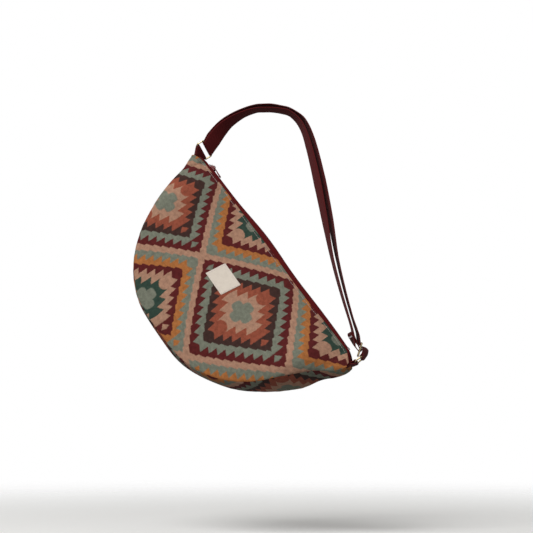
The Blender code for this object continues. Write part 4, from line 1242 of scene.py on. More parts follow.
class CRESCENTBAG_OT_zip(bpy.types.Operator):
    """Lay the zip tapes and set their teeth and stops"""

    bl_idname = "crescentbag.zip_tapes"
    bl_label = "Zip Tapes and Teeth"

    def execute(self, context):
        look = context.scene.crescentbag_zip
        tape = plain_weave("zip_tape_weave", look.red, 1500.0, 0.75, 0.25, 0.4)
        skin = bag_skin()
        for side, word in ((-1, "front"), (1, "back")):
            verts, faces, place, area = self.tape(skin, side)
            piece = add_piece(
                "zip_tape_%s_weave" % word, verts, faces, tape, "bag", place, BAG_POSE, "zip_red"
            )
            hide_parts("zip_tape_" + word)
            teeth = self.teeth(context, side, word)
            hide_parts("zip_teeth_" + word)
            self.cord(context, side, word)
        gloss = painted_or_plated("zip_stop_paint", look.gloss, 0.0, 0.45, 0.1)
        for word in ("front", "back", "end"):
            name = "zip_stop_" + word
            polished_copy(name, name + "_part", "bag", gloss, 0.0003)
        return {"FINISHED"}

    def tape(self, skin, side):
        """One tape: flat beside the teeth, round over the edge, then down inside the panel."""
        order = slice(None) if side < 0 else slice(None, None, -1)
        inside, offsets = skin.inside[:, order], skin.offsets[:, order]
        reach = np.linalg.norm(inside[:, : skin.PANEL] - inside[:, :1], axis=2)
        left = (TAPE_INSET_LEFT if side < 0 else TAPE_INSET_LEFT_BACK) - LEFT_REACH
        right = RIGHT_REACH - TAPE_INSET_RIGHT
        stations = np.linspace(left, right, 190)
        span = reach[:, -1]

        def at(grid, x, part):
            depth = np.interp(x, skin.top_x, span) * part
            points = []
            for k in range(3):
                rowwise = np.array(
                    [np.interp(x, skin.top_x, grid[:, j, k]) for j in range(TAPE_ROWS)]
                )
                depths = np.array([np.interp(x, skin.top_x, reach[:, j]) for j in range(TAPE_ROWS)])
                points.append(np.interp(depth, depths, rowwise))
            return np.array(points)

        outer, inner, place = [], [], []
        for x in stations:
            height, _ = zip_edge(x)
            level = float(height) + ZIP_EDGE_DROP
            bend = at(inside, x, 0.0) - at(offsets, x, 0.0) * LAYER_GAP
            foot = at(inside, x, TAPE_SHARE) - at(offsets, x, TAPE_SHARE) * LAYER_GAP
            rise = float(eased(x, ZIP_RISE))
            edge = side * CHAIN_SLIT / 2
            shoulder = side * (SPINE_EDGE + 0.0004)
            flat = [np.array([x, y, level + rise]) for y in np.linspace(edge, shoulder, 5)]
            turn = []
            for t in np.linspace(0.12, 1.0, 8):
                y = shoulder + (bend[1] - shoulder) * t**0.6
                ease = (0.5 - 0.5 * math.cos(math.pi * t)) * t
                z = level + rise - (level + rise - bend[2] - 0.0008) * ease
                turn.append(np.array([x, y, z]))
            down = [bend + (foot - bend) * t for t in (0.12, 0.35, 0.6, 1.0)]
            line = np.array(flat + turn + down)
            tangent = np.gradient(line, axis=0)
            normal = unit(np.cross(tangent, np.array([1.0, 0.0, 0.0])) * -side)
            if normal[0][2] < 0.0:
                normal = -normal
            outer.append(line)
            inner.append(line - normal * TAPE_WALL)
            run = run_length(line)
            place.append(np.stack([np.full(len(run), x), run], axis=1))
        outer, inner = np.array(outer), np.array(inner)
        if side > 0:
            outer, inner, place = outer[:, ::-1], inner[:, ::-1], [p[::-1] for p in place]
        verts, faces = grid_shell(outer, inner)
        place = np.array(place).reshape(-1, 2)
        return verts, faces, np.concatenate([place, place]), sheet_area((outer + inner) / 2)

    def cord(self, context, side, word):
        """The sewn cord that runs through one row of teeth."""
        look = context.scene.crescentbag_zip
        thread = thread_material("zip_sewing_thread", look.red)
        x = np.arange(CHAIN_LEFT + 0.0006, CHAIN_RIGHT - 0.0006, 0.002)
        height = eased(x, ZIP_RISE) + 0.0004
        spots = [Vector((a, side * 0.0019, b)) for a, b in zip(x, height)]
        across = [Vector((0.0, 1.0, 0.0))] * len(spots)
        verts, faces, _ = band(spots, across, np.zeros(len(spots)), 0.0007, 0.0010)
        add_piece("zip_cord_" + word, verts, faces, thread, "bag", None, BAG_POSE, "zip_coil")

    def teeth(self, context, side, word):
        """One row of coil teeth, set out by a node tree along the tape's edge."""
        look = context.scene.crescentbag_zip
        gloss = painted_or_plated("zip_coil_nylon", look.red, 0.0, 0.5, 0.0)
        start = CHAIN_LEFT + look.tooth_pitch * (0.5 if side < 0 else 1.0)
        x = np.arange(start, CHAIN_RIGHT, look.tooth_pitch)
        height = eased(x, ZIP_RISE) + look.tooth_radius * 0.95
        reach = SPINE_EDGE - 0.0006
        middle = side * (0.00034 + reach / 2)
        path = np.stack([x, np.full_like(x, middle), height], axis=1)
        values = {"Reach": reach, "Radius": look.tooth_radius, "Material": gloss}
        return grown("zip_coil_" + word, tooth_row_tree(), values, path, path)


def worked_copy(node, name, body, material, change, modifiers):
    """A copy of a packed part, changed and then run through modifiers, which stands for it."""
    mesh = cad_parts[node].data.copy()
    mesh.name = name
    work = bmesh.new()
    work.from_mesh(mesh)
    bmesh.ops.remove_doubles(work, verts=work.verts, dist=1e-6)
    change(work)
    work.to_mesh(mesh)
    work.free()
    mesh.materials.clear()
    mesh.materials.append(material)
    piece = new_object(name, mesh)
    for kind, settings in modifiers.items():
        modifier = piece.modifiers.new(kind.title(), kind)
        for key, value in settings.items():
            setattr(modifier, key, value)
    solid = applied(piece)
    solid.materials.clear()
    solid.materials.append(material)
    solid.shade_smooth()
    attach(piece, body)
    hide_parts(node)
    return solid


def merge_facets(work):
    """Merge the faces that lie in one plane."""
    flat = math.radians(1.0)
    bmesh.ops.dissolve_limit(work, angle_limit=flat, verts=work.verts, edges=work.edges)


def polished_copy(node, name, body, material, width):
    """A copy of a packed part with its edges rounded."""
    rounding = {"width": width, "segments": 2, "limit_method": "ANGLE"}
    rounding |= {"angle_limit": math.radians(30.0), "harden_normals": False}
    solid = worked_copy(node, name, body, material, merge_facets, {"BEVEL": rounding})
    solid.set_sharp_from_angle(angle=math.radians(35.0))


def cast_copy(node, name, body, material, add):
    """A copy of a packed part with form added and all its edges run soft, as in a casting."""
    skin = {"mode": "VOXEL", "voxel_size": 0.00013, "use_smooth_shade": True}
    soft = {"factor": 0.5, "iterations": 5}
    worked_copy(node, name, body, material, add, {"REMESH": skin, "SMOOTH": soft})


# Geometry node trees


def geometry_tree(name, inputs):
    """An empty geometry tree with its named inputs."""
    tree = bpy.data.node_groups.new(name, "GeometryNodeTree")
    tree.interface.new_socket("Geometry", in_out="INPUT", socket_type="NodeSocketGeometry")
    for title, kind in inputs:
        tree.interface.new_socket(title, in_out="INPUT", socket_type=kind)
    tree.interface.new_socket("Geometry", in_out="OUTPUT", socket_type="NodeSocketGeometry")
    return tree, tree.nodes.new("NodeGroupInput"), tree.nodes.new("NodeGroupOutput")


def finish_tree(tree, entry, out, geometry):
    """End a tree in real geometry with its material."""
    real = put(tree, "GeometryNodeRealizeInstances", {0: geometry})
    smooth = put(tree, "GeometryNodeSetShadeSmooth", {0: real.outputs[0]})
    values = {"Geometry": smooth.outputs[0], "Material": entry.outputs["Material"]}
    last = put(tree, "GeometryNodeSetMaterial", values)
    feed(out.inputs["Geometry"], last.outputs[0])


def capsule(tree, reach, radius, bend):
    """A short rounded bar along x, bowed by bend, as a mesh."""
    ends = {"Start": (-0.5, 0.0, 0.0), "End": (0.5, 0.0, 0.0)}
    line = put(tree, "GeometryNodeCurvePrimitiveLine", ends)
    fine = put(
        tree, "GeometryNodeResampleCurve", {"Curve": line.outputs[0], "Count": 7}, mode="COUNT"
    )
    x = split(put(tree, "GeometryNodeInputPosition").outputs[0])[0]
    arch = x * x * -4.0 + 1.0
    place = put(tree, "ShaderNodeCombineXYZ", {0: x * reach, 1: 0.0, 2: arch * bend}).outputs[0]
    bowed = put(tree, "GeometryNodeSetPosition", {"Geometry": fine.outputs[0], "Position": place})
    wide = (arch.then("MAXIMUM", 0.0) ** 0.35).then("MAXIMUM", 0.12) * radius
    ring = put(tree, "GeometryNodeCurvePrimitiveCircle", {"Resolution": 6, "Radius": 1.0})
    values = {"Curve": bowed.outputs[0], "Profile Curve": ring.outputs[0]}
    values |= {"Scale": wide, "Fill Caps": True}
    return put(tree, "GeometryNodeCurveToMesh", values).outputs[0]


def tooth_row_tree():
    """A row of teeth: a capsule across the tape at each point of the row."""
    found = bpy.data.node_groups.get("zip_tooth_row")
    if found:
        return found
    inputs = [
        ("Reach", "NodeSocketFloat"), ("Radius", "NodeSocketFloat"),
        ("Material", "NodeSocketMaterial")
    ]
    tree, entry, out = geometry_tree("zip_tooth_row", inputs)
    bar = capsule(tree, entry.outputs["Reach"], entry.outputs["Radius"], 0.0002)
    placed = put(tree, "GeometryNodeInstanceOnPoints", {
        "Points": entry.outputs["Geometry"], "Instance": bar, "Rotation": (0.0, 0.0, math.pi / 2)})
    finish_tree(tree, entry, out, placed.outputs[0])
    return tree


def stitch_tree():
    """Stitches along a path whose vertices carry the cloth's normal."""
    found = bpy.data.node_groups.get("stitches_along_path")
    if found:
        return found
    inputs = [
        ("Pitch", "NodeSocketFloat"), ("Reach", "NodeSocketFloat"), ("Thread", "NodeSocketFloat")
    ]
    inputs += [("Bow", "NodeSocketFloat"), ("Slant", "NodeSocketFloat"), ("Seed", "NodeSocketInt")]
    inputs += [("Material", "NodeSocketMaterial")]
    tree, entry, out = geometry_tree("stitches_along_path", inputs)
    path = put(tree, "GeometryNodeMeshToCurve", {0: entry.outputs["Geometry"]})
    spots = put(tree, "GeometryNodeResampleCurve", {
        "Curve": path.outputs[0], "Length": entry.outputs["Pitch"]}, mode="LENGTH")
    tangent = put(tree, "GeometryNodeInputTangent").outputs[0]
    named = {"Name": "cloth_normal"}
    face = put(tree, "GeometryNodeInputNamedAttribute", named, data_type="FLOAT_VECTOR").outputs[0]
    first = put(tree, "FunctionNodeAlignEulerToVector", {"Vector": face}, axis="Z")
    second = put(tree, "FunctionNodeAlignEulerToVector", {
        "Rotation": first.outputs[0], "Vector": tangent}, axis="X", pivot_axis="Z")
    jitter = put(tree, "FunctionNodeRandomValue", {
        "Min": (-0.03, -0.03, -0.09), "Max": (0.03, 0.03, 0.09), "Seed": entry.outputs["Seed"]},
        data_type="FLOAT_VECTOR").outputs[0]
    slant = put(tree, "ShaderNodeCombineXYZ", {2: entry.outputs["Slant"]}).outputs[0]
    turn = vector("ADD", jitter, slant)
    final = put(tree, "FunctionNodeRotateEuler", {
        "Rotation": second.outputs[0], "Rotate By": turn}, space="LOCAL")
    bar = capsule(tree, entry.outputs["Reach"], entry.outputs["Thread"], entry.outputs["Bow"])
    placed = put(tree, "GeometryNodeInstanceOnPoints", {
        "Points": spots.outputs[0], "Instance": bar, "Rotation": final.outputs[0]})
    finish_tree(tree, entry, out, placed.outputs[0])
    return tree


def grown(name, tree, values, path, normals, pose=BAG_POSE):
    """The plain mesh that a geometry tree makes along a path, riding on the bag."""
    mesh = bpy.data.meshes.new(name)
    mesh.from_pydata([tuple(p) for p in path], [(k, k + 1) for k in range(len(path) - 1)], [])
    attribute = mesh.attributes.new("cloth_normal", "FLOAT_VECTOR", "POINT")
    attribute.data.foreach_set("vector", np.asarray(normals, dtype=np.float32).ravel())
    piece = new_object(name, mesh)
    modifier = piece.modifiers.new(name, "NODES")
    modifier.node_group = tree
    for item in tree.interface.items_tree:
        if item.item_type == "SOCKET" and item.in_out == "INPUT" and item.name in values:
            modifier[item.identifier] = values[item.name]
    solid = applied(piece)
    if not solid.polygons:
        raise RuntimeError(name + " came out empty")
    solid.transform(pose)
    solid.name = name
    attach(piece, "bag")
    return piece


class CRESCENTBAG_OT_slider(bpy.types.Operator):
    """Make the glossy zip slider and its pull"""

    bl_idname = "crescentbag.zip_slider"
    bl_label = "Zip Slider and Pull"

    def execute(self, context):
        paint = painted_or_plated(
            "slider_paint", context.scene.crescentbag_zip.gloss, 0.0, 0.3, 0.15
        )
        cast_copy("zip_slider", "zip_slider_body", "slider", paint, self.add_rims)
        cast_copy("zip_pull", "zip_pull_tag", "pull", paint, self.add_belly)
        return {"FINISHED"}

    def add_rims(self, work):
        """Raised rims along both sides of the slider's top plate."""
        for side in (-1, 1):
            spot = Matrix.Translation((SLIDER_X - 0.0002, side * 0.0036, 0.0030))
            size = Matrix.Diagonal((0.0040, 0.0007, 0.0015, 1.0))
            pose = BAG_POSE @ spot @ size
            bmesh.ops.create_uvsphere(work, u_segments=24, v_segments=12, radius=1.0, matrix=pose)

    def add_belly(self, work):
        """The thick underside of the pull, clear of the slider."""
        hinge = Matrix.Translation((SLIDER_X, 0.0, PULL_HEIGHT))
        hinge = hinge @ Matrix.Rotation(PULL_DROOP, 4, "Y")
        lumps = ((0.0118, 0.00045, 0.0060, 0.0009), (0.0157, 0.00065, 0.0033, 0.0010))
        for centre, drop, reach, depth in lumps:
            spot = hinge @ Matrix.Translation((centre, 0.0, -drop))
            size = Matrix.Diagonal((reach, 0.0021, depth, 1.0))
            pose = BAG_POSE @ spot @ size
            bmesh.ops.create_uvsphere(work, u_segments=32, v_segments=16, radius=1.0, matrix=pose)


class CRESCENTBAG_OT_label(bpy.types.Operator):
    """Lay the blank woven label on the front"""

    bl_idname = "crescentbag.label"
    bl_label = "Label"

    def execute(self, context):
        outer, inner, place = [], [], []
        tree = front_tree()
        for u in np.linspace(-0.5, 0.5, 49):
            top, low, spots = [], [], []
            for v in np.linspace(-0.5, 0.5, 39):
                point, normal = label_spot(tree, u, v)
                edge = min(0.5 - abs(u), (0.5 - abs(v)) * LABEL_HEIGHT / LABEL_WIDTH)
                round_off = 0.00022 * (1.0 - min(1.0, edge / 0.012)) ** 2
                crease = 0.00016 * math.sin(u * 17.0 + 1.0) * math.sin(v * 11.0)
                crease *= min(1.0, edge * 12.0)
                top.append(point + normal * (LABEL_LIFT + LABEL_WALL - round_off + crease))
                low.append(point + normal * LABEL_LIFT)
                spots.append((u * LABEL_WIDTH, v * LABEL_HEIGHT))
            outer.append(top)
            inner.append(low)
            place.append(spots)
        verts, faces = grid_shell(np.array(outer)[:, ::-1], np.array(inner)[:, ::-1])
        flat = np.array(place)[:, ::-1].reshape(-1, 2)
        tint = context.scene.crescentbag_cloth.label
        cloth = plain_weave("label_weave", tint, 1700.0, 0.85, 0.12, 0.5)
        piece = add_piece(
            "label_patch", verts, faces, cloth, "bag", np.concatenate([flat, flat]), BAG_POSE,
            "label_cream"
        )
        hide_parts("label")
        return {"FINISHED"}


def front_tree():
    """The front's outer face for finding points on it, in the bag's frame."""
    grid = bag_panels()["front"][0]
    columns, rows, _ = grid.shape
    faces = []
    for i in range(columns - 1):
        for j in range(rows - 1):
            a = i * rows + j
            faces.append((a, a + 1, a + rows + 1, a + rows))
    return BVHTree.FromPolygons([tuple(p) for p in grid.reshape(-1, 3)], faces)


def front_spot(tree, x, z):
    """The point of the front over x and z, and the outward normal there."""
    point, normal, _, _ = tree.ray_cast(Vector((x, -0.2, z)), Vector((0.0, 1.0, 0.0)))
    if point is None:
        raise RuntimeError("no front cloth at %.4f, %.4f" % (x, z))
    if normal.y > 0.0:
        normal = -normal
    return np.array(point), np.array(normal)


def label_spot(tree, u, v):
    """A point of the label, from shares of its width and height."""
    along, down = u * LABEL_WIDTH, v * LABEL_HEIGHT
    x = LABEL_CENTRE[0] + along * math.cos(LABEL_TILT) - down * math.sin(LABEL_LEAN)
    z = LABEL_CENTRE[1] + along * math.sin(LABEL_TILT) - down * math.cos(LABEL_LEAN)
    point, _ = front_spot(tree, x, z)
    normal = np.zeros(3)
    for dx, dz in ((0.002, 0.0), (-0.002, 0.0), (0.0, 0.002), (0.0, -0.002)):
        normal += front_spot(tree, x + dx, z + dz)[1]
    return point, normal / np.linalg.norm(normal)


# Webbing paths, in the world


def hardware_frame(centre, bar, up):
    """Axes of a ring or slider: side, bar and up, as vectors in the bag's frame."""
    up = (up - bar * up.dot(bar)).normalized()
    return centre, bar.cross(up).normalized(), bar, up


def hardware_point(spot, a, b):
    """A point in a hardware frame's side view."""
    centre, side, _, up = spot
    return centre + side * a + up * b


def hardware():
    """Frames of the left ring, the right ring and the strap slider."""
    up = Vector((0.0, 0.0, 1.0))
    right = Vector((RIGHT_REACH - RIGHT_RING_SPOT[0], 0.0, RIGHT_RING_SPOT[1]))
    glide = Vector((RIGHT_REACH - GLIDE_SPOT[0], 0.0, GLIDE_SPOT[1]))
    return (
        hardware_frame(LEFT_RING_CENTRE, LEFT_RING_BAR, up),
        hardware_frame(right, RIGHT_RING_BAR, up),
        hardware_frame(glide, GLIDE_BAR_AXIS, -GLIDE_DOWN),
    )


def arc(spot, bar_height, start, end, steps):
    """Centreline points of webbing round a bar, by angle from the frame's side axis."""
    radius = WIRE / 2 + LOOP_PLAY + WEB_WALL / 2
    points = []
    for k in range(steps + 1):
        angle = math.radians(start + (end - start) * k / steps)
        height = bar_height + radius * math.sin(angle)
        points.append(hardware_point(spot, radius * math.cos(angle), height))
    return points


def ease_path(knots, spacing):
    """A curve through knots of (point, width direction), sampled about every spacing."""
    points = [2 * knots[0][0] - knots[1][0]] + [k[0] for k in knots]
    points.append(2 * knots[-1][0] - knots[-2][0])
    spots = []
    widths = []
    for k in range(1, len(points) - 2):
        p0, p1, p2, p3 = points[k - 1 : k + 3]
        wa, wb = knots[k - 1][1], knots[k][1]
        span = (p2 - p1).length
        steps = max(1, round(span / spacing))
        before = (p1 - p0).length
        after = (p3 - p2).length
        m1 = (p2 - p0) * (span / (span + before))
        m2 = (p3 - p1) * (span / (span + after))
        for step in range(steps):
            t = step / steps
            h1 = 2 * t**3 - 3 * t**2 + 1
            h2 = t**3 - 2 * t**2 + t
            h3 = -2 * t**3 + 3 * t**2
            h4 = t**3 - t**2
            spots.append(p1 * h1 + m1 * h2 + p2 * h3 + m2 * h4)
            widths.append(wa.lerp(wb, t))
    spots.append(knots[-1][0].copy())
    widths.append(knots[-1][1].copy())
    return spots, widths


def rolled_width(point, tangent, roll):
    """Width direction of a strand: level with the depth, rolled towards the inside of the arch."""
    level = Vector((0.0, 1.0, 0.0))
    level = (level - tangent * level.dot(tangent)).normalized()
    inward = tangent.cross(level).normalized()
    if inward.dot(ARCH_CENTRE - point) < 0.0:
        inward = -inward
    angle = math.radians(roll)
    return level * math.cos(angle) + inward * math.sin(angle)


def strand_knots(route, side):
    """World knots of one strand along a route: side is 1 for the inner strand, -1 for the outer."""
    spots = [Vector((x, y, z)) for x, z, y, _, _ in route]
    knots = []
    for k, spot in enumerate(spots):
        tangent = (spots[min(k + 1, len(spots) - 1)] - spots[max(k - 1, 0)]).normalized()
        width = rolled_width(spot, tangent, route[k][3])
        inward = tangent.cross(width).normalized()
        if inward.dot(ARCH_CENTRE - spot) < 0.0:
            inward = -inward
        knots.append((spot + inward * (side * route[k][4] / 2), width))
    return knots


def crest_knots(side):
    """The flat stretch at the crest."""
    angle = math.radians(CREST_ROLL)
    width = Vector((0.0, math.cos(angle), -math.sin(angle)))
    normal = Vector((0.0, math.sin(angle), math.cos(angle)))
    height = WEB_WALL / 2 + (CREST_SPREAD if side < 0 else 0.0)
    return [(normal * height + Vector((x, 0.0, 0.0)), width) for x in (-CREST_FLAT, CREST_FLAT)]


def bag_knots(points, width):
    """World knots of points in the bag's frame, placed from the right corner's reach."""
    turn = BAG_POSE.to_3x3()
    bar = turn @ width
    down = turn @ Vector((0.0, 0.0, -1.0))
    knots = []
    for inset, y, z, roll in points:
        angle = math.radians(roll)
        across = (bar * math.cos(angle) + down * math.sin(angle)).normalized()
        knots.append((BAG_POSE @ Vector((RIGHT_REACH - inset, y, z)), across))
    return knots


def end_axes(knots):
    """At the strap's end: the way out along it, and the way off its face, away from the bag."""
    along = (knots[0][0] - knots[1][0]).normalized()
    away = along.cross(knots[0][1]).normalized()
    outer = BAG_POSE.to_3x3() @ Vector((0.0, 0.0, -1.0))
    return along, away if away.dot(outer) > 0.0 else -away


def strap_knots():
    """The whole length of webbing, from its folded end to the loop at the right ring."""
    left_ring, right_ring, glide = hardware()

    def wound(spot, height, start, end):
        """World knots of the webbing round a bar."""
        width = BAG_POSE.to_3x3() @ spot[2]
        return [(BAG_POSE @ p, width) for p in arc(spot, height, start, end, 8)]

    knots = bag_knots(END_FOLD_BACK, GLIDE_BAR_AXIS)[::-1]
    tip, width = knots[0]
    along, away = end_axes(knots)
    layer = away * (WEB_WALL + 0.0002)
    hem = [
        tip - along * END_HEM + layer, tip - along * 0.0008 + layer,
        tip + along * 0.0007 + layer * 0.5, tip - along * 0.0008,
    ]
    knots = [(spot, width) for spot in hem] + knots[1:]
    knots += wound(glide, 0.0, *GLIDE_WRAP)
    knots += bag_knots(END_FOLD_OUT, GLIDE_BAR_AXIS)[::-1]
    inner = strand_knots(LEFT_ROUTE, 1) + crest_knots(1) + strand_knots(RIGHT_ROUTE, 1)
    knots += inner[::-1]
    knots += wound(left_ring, RING_HEIGHT / 2, 0.0, -180.0)
    knots += strand_knots(LEFT_ROUTE, -1) + crest_knots(-1) + strand_knots(RIGHT_ROUTE, -1)
    knots += bag_knots(OUTER_RUN, GLIDE_BAR_AXIS)
    knots += bag_knots(BULGE, RIGHT_RING_BAR)
    knots += wound(right_ring, RING_HEIGHT / 2, 20.0, -180.0)
    knots += bag_knots(BULGE_LINING, RIGHT_RING_BAR)
    return knots


def tab_path(spot, root, root_bar, bar_height):
    """A folded length of webbing: up from the corner, round a ring's lower bar, and back down."""
    _, side, bar, up = spot
    lean = (hardware_point(spot, 0.0, bar_height) - root).normalized()
    layer = (WEB_WALL + WEB_GAP) / 2
    across = root_bar.cross(lean).normalized()
    if across.dot(side) < 0.0:
        across = -across
    foot = root - lean * TAB_DEPTH
    waist_bar = (root_bar + bar * 0.6).normalized()
    knots = [(foot - across * layer, root_bar), (root - across * layer, waist_bar)]
    knots += [(p, bar) for p in arc(spot, bar_height, 210.0, -30.0, 10)]
    knots += [(root + across * layer, waist_bar), (foot + across * layer, root_bar)]
    return ease_path(knots, 0.0006)


def tube_faces(spans, size, count):
    """Faces between the rings of a tube, each with size points. The last may join the first."""
    faces = []
    for k in range(spans):
        here, there = k * size, (k + 1) % count * size
        for n in range(size):
            m = (n + 1) % size
            faces.append((here + n, here + m, there + m, there + n))
    return faces


def band(points, across, cup, half_width=WEB_WIDTH / 2, wall=WEB_WALL):
    """Webbing swept along points: vertices, faces and a map in metres along and across.

    cup gives, for each point, how far the middle stands above the edges.
    """
    count = len(points)
    spots = np.array([tuple(p) for p in points])
    widths = np.array([tuple(w.normalized()) for w in across])
    tangent = unit(np.gradient(spots, axis=0))
    lift = unit(np.cross(tangent, widths))
    run = run_length(spots)
    half = wall / 2
    flat = half_width - half
    top = np.linspace(-1.0, 1.0, 17)
    turns = np.radians([30, 60, 90, 120, 150])
    section = [(t * flat, 1.0) for t in top]
    section += [(flat + half * math.sin(a), math.cos(a)) for a in turns]
    section += [(t * flat, -1.0) for t in top[::-1]]
    section += [(-flat - half * math.sin(a), -math.cos(a)) for a in turns]
    size = len(section)
    verts, place_map = [], []
    for k in range(count):
        for w, t in section:
            rise = cup[k] * (0.35 - (w / half_width) ** 2)
            verts.append(spots[k] + widths[k] * w + lift[k] * (t * half + rise))
            place_map.append((run[k], w + (UNDERSIDE if t < 0 else 0.0)))
    faces = tube_faces(count - 1, size, count)
    faces.append(tuple(range(size))[::-1])
    faces.append(tuple((count - 1) * size + n for n in range(size)))
    verts = np.array(verts)
    return verts, outward(verts, faces), np.array(place_map)


def outward(verts, faces):
    """The faces, turned outwards if the closed shape they make is inside out."""
    volume = 0.0
    for face in faces:
        a = verts[face[0]]
        for k in range(1, len(face) - 1):
            volume += float(np.dot(a, np.cross(verts[face[k]], verts[face[k + 1]])))
    return faces if volume > 0.0 else [tuple(face)[::-1] for face in faces]


class CRESCENTBAG_OT_webbing(bpy.types.Operator):
    """Thread the strap and fold the tabs"""

    bl_idname = "crescentbag.webbing"
    bl_label = "Strap and Tabs"

    def execute(self, context):
        look = context.scene.crescentbag_webbing
        cloth = webbing_cloth("burgundy_ribbed_webbing", look)
        points, across = ease_path(strap_knots(), 0.0013)
        spots = np.array([tuple(p) for p in points])
        run = run_length(spots)
        bend = np.linalg.norm(np.gradient(np.gradient(spots, axis=0), axis=0), axis=1)
        bend = np.convolve(bend, np.ones(9) / 9, "same")
        calm = np.clip(1.0 - bend / 0.0002, 0.0, 1.0)
        cup = look.cup * calm * (0.8 + 0.4 * np.sin(run / 0.037))
        verts, faces, place_map = band(points, across, cup)
        piece = add_piece(
            "strap_band", verts, faces, cloth, "bag", place_map, None, "burgundy_webbing", 50.0
        )
        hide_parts("strap_webbing")
        skin = bag_skin()
        left_ring, right_ring, _ = hardware()
        for word, spot, x, z, column in (
            ("left", left_ring, LEFT_TAB_SPOT[0] - LEFT_REACH, LEFT_TAB_SPOT[1], 0),
            ("right", right_ring, RIGHT_REACH - RIGHT_TAB_SPOT[0], RIGHT_TAB_SPOT[1], -1),
        ):
            edge = Vector(skin.grid[column, skin.back]) - Vector(skin.grid[column, skin.seam])
            root = Vector((x, 0.0, z))
            points, across = tab_path(spot, root, edge.normalized(), -RING_HEIGHT / 2)
            verts, faces, place_map = band(points, across, np.zeros(len(points)))
            tab = add_piece(
                "tab_%s_web" % word, verts, faces, cloth, "bag", place_map, BAG_POSE,
                "burgundy_webbing", 50.0
            )
            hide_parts("tab_" + word)
        return {"FINISHED"}


def rounded_rectangle(width, height, radius, steps):
    """Corner points of a rectangle with round corners, anticlockwise."""
    points = []
    for k, (sx, sy) in enumerate(((1, 1), (-1, 1), (-1, -1), (1, -1))):
        cx = sx * (width / 2 - radius)
        cy = sy * (height / 2 - radius)
        for step in range(steps + 1):
            angle = math.pi / 2 * (k + step / steps)
            points.append((cx + radius * math.cos(angle), cy + radius * math.sin(angle)))
    return points


class CRESCENTBAG_OT_hardware(bpy.types.Operator):
    """Bend the two rings and cast the strap slider"""

    bl_idname = "crescentbag.hardware"
    bl_label = "Rings and Strap Slider"

    def execute(self, context):
        look = context.scene.crescentbag_metal
        gold = painted_or_plated("pale_gold_plate", look.gold, 1.0, look.roughness, 0.0)
        left_ring, right_ring, _ = hardware()
        for word, spot in (("left", left_ring), ("right", right_ring)):
            name, body = "ring_%s_wire" % word, word + "_ring"
            shape = self.ring(spot)
            piece = add_piece(name, *shape, gold, body, None, BAG_POSE, "pale_gold")
            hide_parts("ring_" + word)
        polished_copy(
            "strap_slider", "strap_slider_frame", "strap_adjuster", gold, 0.0004
        )
        return {"FINISHED"}

    def ring(self, spot):
        """A rectangular wire ring with round corners."""
        centre, side, bar, up = [np.array(tuple(v)) for v in spot]
        wide = WEB_WIDTH + RING_PLAY + WIRE
        path = np.array(rounded_rectangle(wide, RING_HEIGHT, RING_CORNER, 8))
        fine = []
        for k in range(len(path)):
            a, b = path[k], path[(k + 1) % len(path)]
            steps = max(1, int(np.linalg.norm(b - a) / 0.002))
            fine += [a + (b - a) * t / steps for t in range(steps)]
        count, sides = len(fine), 18
        verts = []
        for k in range(count):
            before, after = fine[k - 1], fine[(k + 1) % count]
            tangent = (after - before) / np.linalg.norm(after - before)
            out = bar * tangent[1] - up * tangent[0]
            for n in range(sides):
                angle = 2 * math.pi * n / sides
                around = out * math.cos(angle) + side * math.sin(angle)
                verts.append(centre + bar * fine[k][0] + up * fine[k][1] + around * WIRE / 2)
        verts = np.array(verts)
        return verts, outward(verts, tube_faces(count, sides, count))


